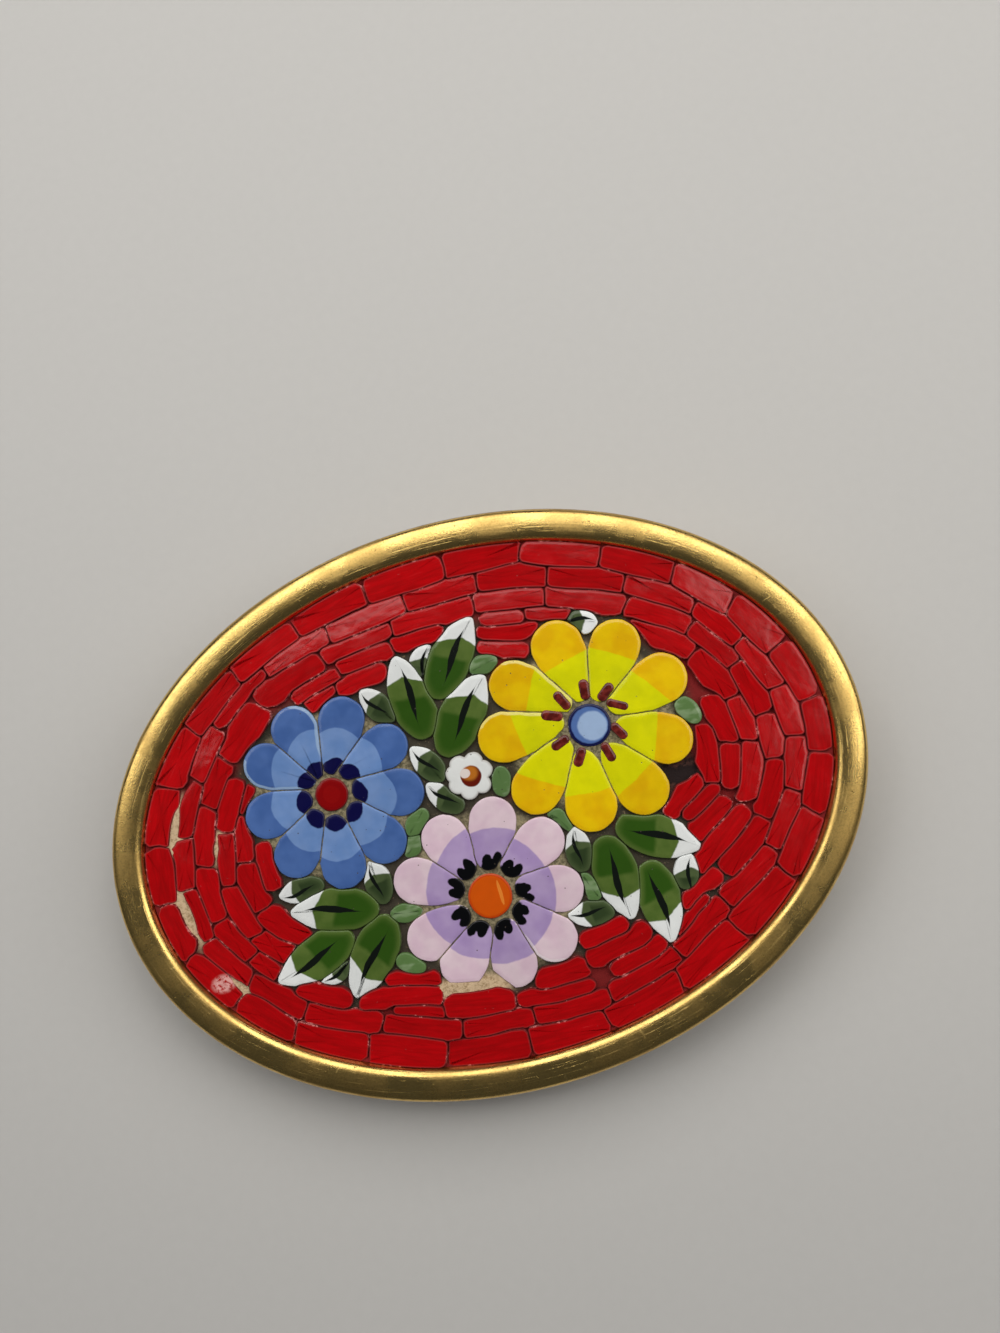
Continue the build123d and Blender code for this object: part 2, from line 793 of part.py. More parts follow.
def build():
    """All nodes of the brooch, level and face up, as a dictionary of shapes."""
    laid = []
    nodes = {
        "bezel_rim": bezel_rim(),
        "back_plate": back_plate(),
        "cement_bed": cement_bed(),
        "pin_fitting": pin_fitting(),
    }
    flowers = [
        ("blue", blue_centre, blue_petals, blue_petal_reach, blue_petal_width,
         blue_heart_diameter, []),
        ("yellow", yellow_centre, yellow_petals, yellow_petal_reach, yellow_petal_width,
         yellow_heart_diameter, []),
        ("lilac", lilac_centre, lilac_petals, lilac_petal_reach, lilac_petal_width,
         lilac_heart_diameter, lilac_chips),
    ]
    for name, centre, petals, reach, width, heart_diameter, chips in flowers:
        solids = flower(centre, petals, reach, width, heart_diameter, chips, laid)
        nodes[f"{name}_flower_heart"] = solids[0]
        for number, petal in enumerate(solids[1:], start=1):
            nodes[f"{name}_petal_{number}"] = petal
    nodes["white_floret"] = lay(floret_face(), laid)
    for number, row in enumerate(large_leaves, start=1):
        face = leaf_face(row, leaf_width, leaf_tip_radius, leaf_base_radius)
        nodes[f"leaf_{number}"] = lay(face, laid)
    small_leaves = []
    for row in small_leaf_rows:
        face = leaf_face(row, small_leaf_width, small_leaf_tip_radius, small_leaf_base_radius)
        small_leaves.append(lay(face, laid))
    nodes["small_leaves"] = Compound(small_leaves)
    ovals = [lay(nudged_clear(oval_face(row), laid), laid) for row in oval_rows]
    nodes["green_ovals"] = Compound(ovals)
    for row in bouquet_spots:
        laid.append(spot_outline(bouquet_point(row.x, row.y), row))
    bouquet_count = len(laid)
    for row in ground_spots:
        laid.append(spot_outline(field_point(row.x, row.y), row))
    tesserae = lay_tesserae(laid) + fill_gaps(laid, bouquet_count)
    nodes["red_tesserae"] = Compound(tesserae)
    return nodes


def main():
    """Lay the brooch down as it rests and write one file for each node."""
    nodes = build()
    lean = Rot(resting_lean(), 0, 0)
    leaning = {name: lean * shape for name, shape in nodes.items()}
    boxes = [shape.bounding_box() for shape in leaning.values()]
    low = [min(getattr(box.min, axis) for box in boxes) for axis in "XYZ"]
    high = [max(getattr(box.max, axis) for box in boxes) for axis in "XYZ"]
    shift = Pos(-(low[0] + high[0]) / 2, -(low[1] + high[1]) / 2, -low[2])
    os.makedirs("parts", exist_ok=True)
    for name, shape in leaning.items():
        export_step(shift * shape, f"parts/{name}.step")


main()
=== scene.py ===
"""The looks of an oval micromosaic brooch: cut glass, cement and worn brass.

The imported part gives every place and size. Pieces are shaped level, with the
polished face of the stones at height 0, the picture's right along +X and its top
along +Y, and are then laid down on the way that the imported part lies.
"""

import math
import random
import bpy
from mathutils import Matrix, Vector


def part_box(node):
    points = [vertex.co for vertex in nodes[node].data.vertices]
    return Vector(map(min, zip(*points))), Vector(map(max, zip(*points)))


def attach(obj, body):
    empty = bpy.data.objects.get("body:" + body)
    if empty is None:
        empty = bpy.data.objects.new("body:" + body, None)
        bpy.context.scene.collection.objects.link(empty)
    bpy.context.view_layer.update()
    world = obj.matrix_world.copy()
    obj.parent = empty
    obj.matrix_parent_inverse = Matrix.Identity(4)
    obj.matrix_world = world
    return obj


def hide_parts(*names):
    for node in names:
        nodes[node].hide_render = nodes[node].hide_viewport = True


bl_info = {
    "name": "Micromosaic Brooch",
    "version": (1, 0, 0),
    "blender": (4, 5, 0),
    "location": "3D View > Sidebar > Brooch",
    "description": "Dresses an oval micromosaic brooch in cut glass, cement and worn brass",
    "category": "Add Mesh",
}

import bmesh
import bpy
import numpy as np
from bpy.props import FloatProperty, FloatVectorProperty, IntProperty, PointerProperty
from mathutils import Matrix, Vector, noise

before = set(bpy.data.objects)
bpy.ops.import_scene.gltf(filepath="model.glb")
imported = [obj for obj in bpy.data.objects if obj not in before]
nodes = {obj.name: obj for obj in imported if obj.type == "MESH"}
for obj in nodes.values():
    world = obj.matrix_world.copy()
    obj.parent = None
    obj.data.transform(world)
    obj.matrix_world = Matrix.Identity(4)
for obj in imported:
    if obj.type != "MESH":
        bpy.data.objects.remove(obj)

MM = 0.001
# Keeps a length that something is divided by from being 0
LEAST = 1e-9
MERGE_DISTANCE = 0.001 * MM
FLAT_ANGLE = math.radians(1)
# A face with a corner lower than this isn't part of a stone's top
TOP_TOLERANCE = 0.01 * MM
# Corners of the outline that stands for an oval bare spot
OVAL_SIDES = 16


def face_placing():
    """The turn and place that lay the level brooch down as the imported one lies."""
    low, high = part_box("back_plate")
    centre = (low + high) / 2
    widest = max(nodes["back_plate"].data.polygons, key=lambda face: face.area)
    up = widest.normal.normalized()
    if up.z < 0:
        up.negate()
    right = Vector((1, 0, 0))
    rise = max((vertex.co - centre).dot(up) for vertex in nodes["white_floret"].data.vertices)
    placing = Matrix((right, up.cross(right), up)).transposed().to_4x4()
    placing.translation = centre + up * rise
    return placing


FACE = face_placing()
LEVEL = FACE.inverted()


def level_box(*names):
    """Lowest and highest corners of CAD nodes, level and in metres."""
    places = [LEVEL @ vertex.co for name in names for vertex in nodes[name].data.vertices]
    low = Vector([min(place[axis] for place in places) for axis in range(3)])
    high = Vector([max(place[axis] for place in places) for axis in range(3)])
    return low, high


def clamp(value):
    """The value, held between 0 and 1."""
    return min(1.0, max(0.0, value))


def unit(vectors):
    """Plane vectors, each brought to a length of 1."""
    return vectors / np.maximum(np.linalg.norm(vectors, axis=1), LEAST)[:, None]


def flat_places(vertices):
    """Where vertices lie along X and Y."""
    return np.array([vertex.co[:2] for vertex in vertices])


def node_sides(name):
    """The sides of the stones' tops in one CAD node, level, stone by stone."""
    corners = {}
    sides = {}
    mesh = nodes[name].data
    for face in mesh.polygons:
        places = [LEVEL @ mesh.vertices[index].co for index in face.vertices]
        if min(place.z for place in places) < -TOP_TOLERANCE:
            continue
        keys = [(round(place.x / MM, 3), round(place.y / MM, 3)) for place in places]
        for key, place in zip(keys, places):
            corners[key] = (place.x, place.y)
        for start, end in zip(keys, keys[1:] + keys[:1]):
            if start != end:
                sides[(start, end)] = True
    follows = {start: end for start, end in sides if (end, start) not in sides}
    stones = []
    while follows:
        start, end = follows.popitem()
        loop = [start]
        while end in follows:
            loop.append(end)
            end = follows.pop(end)
        stones.append(np.array([corners[key] for key in loop]))
    return stones


def gaps_to(places, outline):
    """Distance from each place to a closed outline."""
    sides = np.roll(outline, -1, axis=0) - outline
    squares = np.maximum((sides**2).sum(axis=1), LEAST * LEAST)
    offsets = places[:, None, :] - outline[None]
    shares = np.clip((offsets * sides[None]).sum(axis=2) / squares, 0, 1)
    return np.linalg.norm(offsets - shares[..., None] * sides[None], axis=2).min(axis=1)


def oval_outline(x, y, degrees, length, width):
    """The outline of an oval given in millimetres."""
    turn = math.radians(degrees)
    steps = np.linspace(0, 2 * math.pi, OVAL_SIDES + 1)[:-1]
    along = length / 2 * np.cos(steps)
    across = width / 2 * np.sin(steps)
    return np.stack((x + along * math.cos(turn) - across * math.sin(turn),
                     y + along * math.sin(turn) + across * math.cos(turn)), axis=-1) * MM


# Bare places where cement shows: place in millimetres from the picture's middle,
# heading in degrees, length and width
BARE_SPOTS = [
    (-17.7, 3.35, 66, 2.2, 0.45),
    (-18.25, -1.5, 98, 2.7, 0.60),
    (-15.65, 1.6, 72, 0.9, 0.25),
    (-16.25, -6.3, 128, 1.2, 0.40),
    (-3.6, -9.85, -8, 3.2, 0.40),
    (11.1, -1.5, 0, 1.6, 0.95),
]
PICTURE_EDGE = level_box("cement_bed")[1]
STONE_NODES = [name for name in nodes
               if name not in ("bezel_rim", "back_plate", "cement_bed", "pin_fitting")]
BOUQUET_OUTLINES = [outline for name in STONE_NODES if name != "red_tesserae"
                    for outline in node_sides(name)]
OUTLINES = BOUQUET_OUTLINES + node_sides("red_tesserae")
BARE_OUTLINES = [oval_outline(*spot) for spot in BARE_SPOTS]


def level_middle(name):
    """Middle of a CAD node's level box."""
    low, high = level_box(name)
    return (low + high) / 2


def length(millimetres, name, description):
    """A length that can be changed, with its default in millimetres."""
    return FloatProperty(name=name, description=description, default=millimetres * MM,
                         unit="LENGTH", precision=6)


class BroochStones(bpy.types.PropertyGroup):
    """How the glass was cut and ground."""

    edge_round: length(0.06, "Edge round", "Radius ground on the stones' top edges")
    corner_round: length(0.11, "Corner round", "Radius of the red bars' corners")
    band: length(0.16, "Edge band", "Width of the sloping band inside the edge")
    crown: length(0.022, "Crown", "Rise of the flat top over the sloping band")
    bar_edge: length(0.022, "Bar edge", "Radius ground on the red bars' top edges")
    bar_crown: length(0.008, "Bar crown", "Rise of a bar's flat top over its sloping band")
    wobble: length(0.07, "Wobble", "How far a hand cut edge strays from its line")
    joint: length(0.025, "Joint", "Gap left between neighbouring stones")
    petal_growth: length(0.03, "Petal growth", "Most that a petal fills of a gap")
    leaf_growth: length(0.13, "Leaf growth", "Most that a leaf fills of a gap")
    bar_growth: length(0.55, "Bar growth", "Most that a red bar fills of a gap")
    wander: length(0.50, "Wander", "How far the courses of red bars stray")
    wander_size: length(6.0, "Wander size", "Length over which the courses stray")
    under_bead: length(0.05, "Under the bead", "How far the outer bars run on under the bead")
    longest_side: length(0.42, "Longest side", "Longest straight stretch left on an outline")
    shortest_side: length(
        0.05, "Shortest side", "Shortest straight stretch left on an outline")
    strip_rise: length(0.05, "Strip rise", "How far the brown strips stand over the face")
    strip_depth: length(0.4, "Strip depth", "Thickness of the brown strips")
    bar_tilt: FloatProperty(
        name="Bar tilt", description="How far a red bar may lean",
        default=math.radians(4.5), subtype="ANGLE")
    petal_tilt: FloatProperty(
        name="Petal tilt", description="How far a petal or leaf may lean",
        default=math.radians(1.2), subtype="ANGLE")
    seed: IntProperty(name="Seed", description="Seed of the random leans and tones", default=7)


class BroochCement(bpy.types.PropertyGroup):
    """How the cement fills the gaps."""

    high: length(0.10, "High depth", "Depth below the face inside the flowers")
    bare: length(0.08, "Bare depth", "Depth below the face where no stone was laid")
    middle: length(0.26, "Middle depth", "Depth below the face between the leaves")
    low: length(0.26, "Low depth", "Depth below the face among the red bars")
    under_rim: length(0.04, "Under the rim", "How far the cement runs on under the rim")
    rough: length(0.07, "Roughness", "Height of the cement's lumps")
    pale: FloatVectorProperty(
        name="Pale cement", description="Colour of clean cement", subtype="COLOR",
        default=(0.72, 0.53, 0.33))
    # Painted shade: this dark cement colour stands for the shadow in the deep gaps between the
    # leaves
    dark: FloatVectorProperty(
        name="Dark cement", description="Colour of dirty cement between leaves",
        subtype="COLOR", default=(0.045, 0.036, 0.022))
    stained: FloatVectorProperty(
        name="Stained cement", description="Colour of cement among the red bars",
        subtype="COLOR", default=(0.20, 0.004, 0.004))


class BroochRim(bpy.types.PropertyGroup):
    """The brass rim."""

    sides: IntProperty(name="Sides", description="Sides round the oval", default=288)
    roundness: FloatProperty(
        name="Roundness", description="1 for a half round bead, less for a flatter one",
        default=0.54)
    dents: length(0.03, "Dents", "Depth of the waves and dents in the bead")
    brass: FloatVectorProperty(
        name="Brass", description="Colour of bare brass", subtype="COLOR",
        default=(0.90, 0.62, 0.20))
    tarnish: FloatVectorProperty(
        name="Tarnish", description="Colour of dulled brass", subtype="COLOR",
        default=(0.36, 0.205, 0.055))


class BroochStage(bpy.types.PropertyGroup):
    """Floor, lights and camera."""

    camera: FloatVectorProperty(
        name="Camera", description="Camera's place over the face, in the level brooch",
        subtype="XYZ", unit="LENGTH", default=(4.80 * MM, 3.44 * MM, 57.1 * MM))
    aim: FloatVectorProperty(
        name="Aim", description="Point on the face at the middle of the view",
        subtype="XYZ", unit="LENGTH", default=(2.98 * MM, 7.14 * MM, 0.0))
    roll: FloatProperty(
        name="Roll", description="Turn of the camera about its own line of sight",
        default=math.radians(16.11), subtype="ANGLE")
    focal_share: FloatProperty(
        name="Focal share", description="Focal length as a share of the picture's height",
        default=1000 / 1333)
    floor_colour: FloatVectorProperty(
        name="Floor", description="Colour of the floor", subtype="COLOR",
        default=(0.62, 0.61, 0.59))


def shade(red, green, blue):
    """A linear colour with alpha from display values of 0 to 255."""
    channels = []
    for value in (red, green, blue):
        share = value / 255
        channels.append(share / 12.92 if share <= 0.04045 else ((share + 0.055) / 1.055) ** 2.4)
    return (*channels, 1.0)


def take_up(piece):
    """Makes a piece the only selected one, and the active one."""
    bpy.ops.object.select_all(action="DESELECT")
    piece.select_set(True)
    bpy.context.view_layer.objects.active = piece


def edit(piece):
    """Opens a piece for editing and returns its edit mesh."""
    take_up(piece)
    bpy.ops.object.mode_set(mode="EDIT")
    bpy.ops.mesh.select_all(action="DESELECT")
    return bmesh.from_edit_mesh(piece.data)


def off(outline, place):
    """How far an outline's middle lies from a place, along X or Y."""
    return np.abs(outline.mean(axis=0) - place).max()


def out_share(places):
    """0 for places in the middle of the picture's oval, 1 for those at its edge."""
    return np.hypot(places[:, 0] / PICTURE_EDGE.x, places[:, 1] / PICTURE_EDGE.y)


def close_edit():
    """Ends editing."""
    bpy.ops.object.mode_set(mode="OBJECT")


def pick(mesh, items):
    """Selects these edges or faces of an edit mesh and nothing else."""
    bpy.ops.mesh.select_all(action="DESELECT")
    for item in items:
        item.select_set(True)
    mesh.select_flush_mode()


def draw_out(rise):
    """Draws the selected edges straight up, or down where the rise is negative."""
    bpy.ops.mesh.extrude_edges_move(TRANSFORM_OT_translate={"value": (0, 0, rise)})


def face_outward():
    """Turns every face outward and ends editing."""
    bpy.ops.mesh.select_all(action="SELECT")
    bpy.ops.mesh.normals_make_consistent(inside=False)
    close_edit()


def smooth(piece, degrees):
    """Shades a piece smooth where its faces meet at less than this angle."""
    take_up(piece)
    bpy.ops.object.shade_smooth_by_angle(angle=math.radians(degrees))


def note(mesh, name, values):
    """Notes one value on each vertex."""
    mesh.attributes.new(name, "FLOAT", "POINT").data.foreach_set("value", values)


def apply_modifier(piece, kind, name, **settings):
    """Adds a modifier, sets it and applies it."""
    take_up(piece)
    modifier = piece.modifiers.new(name, kind)
    for key, value in settings.items():
        setattr(modifier, key, value)
    bpy.ops.object.modifier_apply(modifier=modifier.name)


def push(piece, name, direction, size, strength, mid_level, **settings):
    """Pushes a piece in and out by a soft noise with lumps of this size."""
    texture = bpy.data.textures.new(name, "CLOUDS")
    texture.noise_scale = size
    texture.noise_depth = 1
    apply_modifier(piece, "DISPLACE", name, texture=texture, texture_coords="LOCAL",
                   direction=direction, strength=strength, mid_level=mid_level, **settings)


def dress(mesh, material):
    """Gives a mesh this material alone."""
    mesh.materials.clear()
    mesh.materials.append(material)


def lay_down(piece, material, replaced=()):
    """Lays a level piece on its place, gives it its material, hangs it on the root and hides the
    nodes that it replaces.
    """
    take_up(piece)
    piece.matrix_world = FACE
    bpy.ops.object.transform_apply(location=True, rotation=True, scale=True)
    dress(piece.data, material)
    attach(piece, "root")
    if replaced:
        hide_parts(*replaced)


def level_copy(node, name):
    """A merged copy of a CAD node, level, with flat faces joined up."""
    piece = bpy.data.objects.new(name, nodes[node].data.copy())
    bpy.context.collection.objects.link(piece)
    piece.data.transform(LEVEL)
    piece.data.materials.clear()
    take_up(piece)
    bpy.ops.mesh.customdata_custom_splitnormals_clear()
    edit(piece)
    bpy.ops.mesh.select_all(action="SELECT")
    bpy.ops.mesh.remove_doubles(threshold=MERGE_DISTANCE)
    bpy.ops.mesh.dissolve_limited(angle_limit=FLAT_ANGLE)
    close_edit()
    return piece


def level_tops(node, name):
    """The flat tops of the stones in a CAD node, level, and the height of their feet."""
    piece = level_copy(node, name)
    foot = min(vertex.co.z for vertex in piece.data.vertices)
    edit(piece)
    bpy.ops.mesh.select_mode(type="FACE")
    mesh = bmesh.from_edit_mesh(piece.data)
    pick(mesh, [face for face in mesh.faces
                if min(vertex.co.z for vertex in face.verts) < -TOP_TOLERANCE])
    bpy.ops.mesh.delete(type="FACE")
    bpy.ops.mesh.select_all(action="SELECT")
    bpy.ops.mesh.dissolve_faces()
    bpy.ops.mesh.select_mode(type="VERT")
    close_edit()
    return piece, foot


def part_long_sides(piece, longest):
    """Parts each long side of the stones' outlines, so that it can stray."""
    mesh = edit(piece)
    sides = True
    while sides:
        sides = [edge for edge in mesh.edges if edge.is_boundary and edge.calc_length() > longest]
        if sides:
            pick(mesh, sides)
            bpy.ops.mesh.subdivide(number_cuts=1)
            mesh = bmesh.from_edit_mesh(piece.data)
    bpy.ops.mesh.select_all(action="SELECT")
    bpy.ops.mesh.dissolve_faces()
    close_edit()


def stray(piece, distance):
    """Makes the outlines wander a little, as hand cut glass does."""
    for direction, size in (("X", 0.5 * MM), ("Y", 0.55 * MM)):
        push(piece, "Stray " + direction, direction, size, distance, 0.5)


# Levels at which the noise is read for the steps along X and along Y
WANDER_LEVELS = (0.5, 9.3)
# The courses hold still at the rim, over this share of the oval, and at other stones
RIM_HOLD = 0.05
STONE_HOLD = 1.2 * MM

# Outlines with middles farther off than this are no neighbours of a stone
NEIGHBOUR_REACH = 8 * MM
BARE_REACH = 5 * MM
# A side faces the rim where this share of it points outward, this close to the rim
RIM_FACING = 0.6
RIM_REACH = 0.6 * MM
RIM_JOINT = 0.01 * MM

# Corners sharper than this are rounded
CORNER_TURN = math.radians(24)
# Turns at which the rounded edge is stepped, in degrees
EDGE_TURNS = (0, 30, 60, 90)
# Steps inward and upward over the crown, as shares of the band and of the rise
CROWN_STEPS = ((0.1, 0.1), (0.3, 0.3), (0.6, 0.6), (0.15, 0.0))
WIDEST_BAND = 0.45
DEPTH_GRID = 15


def wander(stone, settings):
    """Bends a red bar with its neighbours, so that the courses look laid by hand."""
    mesh = stone.data
    places = flat_places(mesh.vertices)
    middle = places.mean(axis=0)
    share = np.clip((1 - out_share(places)) / RIM_HOLD, 0, 1)
    for outline in BOUQUET_OUTLINES + BARE_OUTLINES:
        if off(outline, middle) < NEIGHBOUR_REACH:
            share = np.minimum(share, np.clip(gaps_to(places, outline) / STONE_HOLD, 0, 1))
    for vertex, part in zip(mesh.vertices, share):
        x, y = vertex.co.x / settings.wander_size, vertex.co.y / settings.wander_size
        step = [noise.noise((x, y, level)) + 0.2 * noise.noise((3 * x, 3 * y, level))
                for level in WANDER_LEVELS]
        vertex.co.x += step[0] * settings.wander * part
        vertex.co.y += step[1] * settings.wander * part


def loose_stones(piece):
    """The stones of a piece as objects of their own."""
    edit(piece)
    bpy.ops.mesh.select_all(action="SELECT")
    bpy.ops.mesh.separate(type="LOOSE")
    close_edit()
    return sorted(bpy.context.selected_objects, key=lambda stone: stone.name)


def ring_round(mesh):
    """The vertices round a stone's flat top, anticlockwise."""
    mesh.verts.index_update()
    top = max(mesh.faces, key=lambda face: face.calc_area())
    ring = list(top.verts)
    return ring if top.normal.z > 0 else ring[::-1]


def fill_out(stone, settings, growth):
    """Widens a stone's top towards its neighbours, and leaves a narrow joint.

    Sides that face the rim close by run on under its bead."""
    mesh = edit(stone)
    ring = ring_round(mesh)
    places = flat_places(ring)
    middle = places.mean(axis=0)
    near = [outline for outline in OUTLINES if off(outline, middle) < NEIGHBOUR_REACH]
    own = min(near, key=lambda outline: off(outline, middle))
    gap = np.full(len(places), 2 * growth + settings.joint)
    for outline in near:
        if outline is not own:
            gap = np.minimum(gap, gaps_to(places, outline))
    for outline in BARE_OUTLINES:
        if off(outline, middle) < BARE_REACH:
            gap = np.minimum(gap, 2 * gaps_to(places, outline))
    out = out_share(places)
    to_rim = (1 - out) * np.hypot(places[:, 0], places[:, 1]) / np.maximum(out, LEAST)
    room = np.clip((gap - settings.joint) / 2, 0, growth)
    room = np.clip(np.minimum(room, to_rim - RIM_JOINT), 0, None)
    sides = np.roll(places, -1, axis=0) - places
    ways = unit(np.stack((sides[:, 1], -sides[:, 0]), axis=-1))
    outward = unit(ways + np.roll(ways, 1, axis=0))
    radial = unit(places)
    faces_rim = ((outward * radial).sum(axis=1) > RIM_FACING) & (to_rim < RIM_REACH)
    moved = places + outward * room[:, None]
    moved[faces_rim] = (places + radial * (to_rim + settings.under_bead)[:, None])[faces_rim]
    for vertex, place in zip(ring, moved.tolist()):
        vertex.co.x, vertex.co.y = place
    close_edit()


def round_corners(stone, radius):
    """Rounds the corners of a stone's flat top."""
    mesh = edit(stone)
    ring = ring_round(mesh)
    neighbours = zip([ring[-1], *ring], ring, [*ring[1:], ring[0]])
    pick(mesh, [vertex for before, vertex, after in neighbours
                if (vertex.co - before.co).angle(after.co - vertex.co, 0.0) > CORNER_TURN])
    bpy.ops.mesh.bevel(offset=radius, segments=3, affect="VERTICES", clamp_overlap=True)
    close_edit()


def deepest(outline):
    """How far the point deepest inside an outline lies from it, found on a grid."""
    low, high = outline.min(axis=0), outline.max(axis=0)
    lines = [np.linspace(start, end, DEPTH_GRID) for start, end in zip(low, high)]
    grid = np.stack(np.meshgrid(*lines), axis=-1).reshape(-1, 2)
    return max((gap for place, gap in zip(grid, gaps_to(grid, outline))
                if inside(place, outline)), default=0.0)


def grind(stone, settings, foot, corner_round=0.0):
    """Makes a stone of its flat top: a rounded edge, a low crown and sides to the foot.

    A stone with rounded corners is a red bar, with an edge and crown of its own.
    Gives back the outline."""
    edge_round, crown = settings.edge_round, settings.crown
    if corner_round:
        edge_round, crown = settings.bar_edge, settings.bar_crown
        round_corners(stone, corner_round)
    edit(stone)
    bpy.ops.mesh.select_all(action="SELECT")
    bpy.ops.mesh.remove_doubles(threshold=settings.shortest_side)
    mesh = bmesh.from_edit_mesh(stone.data)
    outline = [(vertex.co.x, vertex.co.y) for vertex in ring_round(mesh)]
    bpy.ops.transform.translate(value=(0, 0, -edge_round - crown))
    steps = []
    for start, end in zip(EDGE_TURNS, EDGE_TURNS[1:]):
        inward = math.cos(math.radians(start)) - math.cos(math.radians(end))
        upward = math.sin(math.radians(end)) - math.sin(math.radians(start))
        steps.append((edge_round * inward, edge_round * upward))
    room = deepest(np.array(outline)) - edge_round
    band = min(settings.band, WIDEST_BAND * max(0.0, room))
    steps += [(inward * band, upward * crown) for inward, upward in CROWN_STEPS]
    for inward, upward in steps:
        bpy.ops.mesh.inset(thickness=inward, depth=upward, use_even_offset=False)
    bpy.ops.mesh.poke()
    mesh = bmesh.from_edit_mesh(stone.data)
    rim = [edge for edge in mesh.edges if edge.is_boundary]
    drop = foot - rim[0].verts[0].co.z
    pick(mesh, rim)
    draw_out(drop)
    bpy.ops.mesh.edge_face_add()
    face_outward()
    return outline


def inside(place, outline):
    """Whether a place lies inside a closed outline."""
    crossings = 0
    for start, end in zip(outline, np.roll(outline, -1, axis=0)):
        if (start[1] > place[1]) != (end[1] > place[1]):
            share = (place[1] - start[1]) / (end[1] - start[1])
            crossings += place[0] < start[0] + share * (end[0] - start[0])
    return crossings % 2 == 1


def long_axis(points):
    """Heading of an outline's long axis, in radians."""
    spread = np.cov((points - points.mean(axis=0)).T)
    axes = np.linalg.eigh(spread)[1]
    return math.atan2(axes[1, -1], axes[0, -1])


def note_cut(stone, outline, origin, heading, marks):
    """Notes on a stone where each point lies on it, and the stone's own marks.

    The map named cut holds millimetres along and across the heading from the
    origin. The attribute inset is the distance from the outline in millimetres."""
    mesh = stone.data
    cut = mesh.uv_layers.new(name="cut")
    cos, sin = math.cos(heading), math.sin(heading)
    for loop in mesh.loops:
        place = mesh.vertices[loop.vertex_index].co
        x, y = place.x - origin[0], place.y - origin[1]
        cut.data[loop.index].uv = ((x * cos + y * sin) / MM, (y * cos - x * sin) / MM)
    gaps = gaps_to(flat_places(mesh.vertices), np.array(outline))
    note(mesh, "inset", (gaps / MM).astype(np.float32))
    for name, value in marks.items():
        note(mesh, name, np.full(len(mesh.vertices), value, np.float32))


def lean(stone, angle, chooser):
    """Leans a stone a little about a level line through its middle."""
    box = np.array([vertex.co for vertex in stone.data.vertices])
    middle = Vector(((box.min(axis=0) + box.max(axis=0)) / 2).tolist())
    middle.z = 0
    turn = chooser.uniform(0, 2 * math.pi)
    line = Vector((math.cos(turn), math.sin(turn), 0))
    tilt = Matrix.Rotation(chooser.uniform(0.3, 1.0) * angle, 4, line)
    stone.data.transform(Matrix.Translation(middle) @ tilt @ Matrix.Translation(-middle))


def cut_stones(node, name, material, tilt, growth, corner_round=0.0, lay=None, seed=0):
    """Cut glass that stands for a CAD node of one or more stones.

    lay gives the origin, heading and marks of a stone from its outline. Without
    it, they follow the outline's long axis."""
    settings = bpy.context.scene.brooch_stones
    chooser = random.Random(settings.seed * 1000 + seed)
    piece, foot = level_tops(node, name)
    part_long_sides(piece, settings.longest_side)
    stray(piece, settings.wobble)
    stones = loose_stones(piece)
    for stone in stones:
        fill_out(stone, settings, growth)
        if corner_round:
            wander(stone, settings)
        outline = grind(stone, settings, foot, corner_round)
        if lay:
            origin, heading, marks = lay(outline)
        else:
            points = np.array(outline)
            origin = (points.min(axis=0) + points.max(axis=0)) / 2
            heading, marks = long_axis(points), {"slant": chooser.uniform(-1, 1)}
        note_cut(stone, outline, origin, heading, {"tone": chooser.random(), **marks})
        lean(stone, tilt, chooser)
    lay_down(join(stones, name), material, [node])


def join(stones, name):
    """One smooth shaded piece of several stones."""
    take_up(stones[0])
    for stone in stones:
        stone.select_set(True)
    if len(stones) > 1:
        bpy.ops.object.join()
    stones[0].name = name
    smooth(stones[0], 38)
    return stones[0]


def add(tree, kind, inputs=None, **settings):
    """Adds a node with these settings, and feeds its inputs."""
    node = tree.nodes.new(kind)
    for name, value in settings.items():
        setattr(node, name, value)
    for socket, value in (inputs or {}).items():
        feed(tree, node.inputs[socket], value)
    return node


def feed(tree, socket, value):
    """Links a socket to another, or gives it a plain value."""
    if isinstance(value, bpy.types.NodeSocket):
        tree.links.new(value, socket)
    else:
        socket.default_value = value


def reckon(tree, operation, first, second=0.0, third=0.0):
    """A sum, product or other reckoning of values."""
    return add(tree, "ShaderNodeMath", {0: first, 1: second, 2: third},
               operation=operation).outputs[0]


def times(tree, first, second, plus=None):
    """The product of two values, and a third added where there is one."""
    if plus is None:
        return reckon(tree, "MULTIPLY", first, second)
    return reckon(tree, "MULTIPLY_ADD", first, second, plus)


def rise_between(tree, value, low, high):
    """0 where a value is at low, 1 where it is at high, and smooth between."""
    return add(tree, "ShaderNodeMapRange", {"Value": value, "From Min": low, "From Max": high},
               interpolation_type="SMOOTHSTEP").outputs["Result"]


def blend_colours(tree, share, first, second):
    """The first colour, with this share of the second.

    A colour of three numbers is in display values of 0 to 255."""
    colours = [shade(*colour) if isinstance(colour, tuple) and len(colour) == 3 else colour
               for colour in (first, second)]
    return add(tree, "ShaderNodeMix", {0: share, 6: colours[0], 7: colours[1]},
               data_type="RGBA").outputs[2]


def speckle(tree, vector, scale, detail=2.0, rough=0.5):
    """Noise of about 0 to 1."""
    return add(tree, "ShaderNodeTexNoise", {"Vector": vector, "Scale": scale, "Detail": detail,
                                            "Roughness": rough}).outputs["Fac"]


def stretched(tree, vector, scale):
    """A vector scaled apart along its three axes."""
    return add(tree, "ShaderNodeMapping", {"Vector": vector, "Scale": scale},
               vector_type="POINT").outputs["Vector"]


def millimetres(tree):
    """Place on the object in millimetres."""
    coordinates = add(tree, "ShaderNodeTexCoord")
    return stretched(tree, coordinates.outputs["Object"], (1 / MM, 1 / MM, 1 / MM))


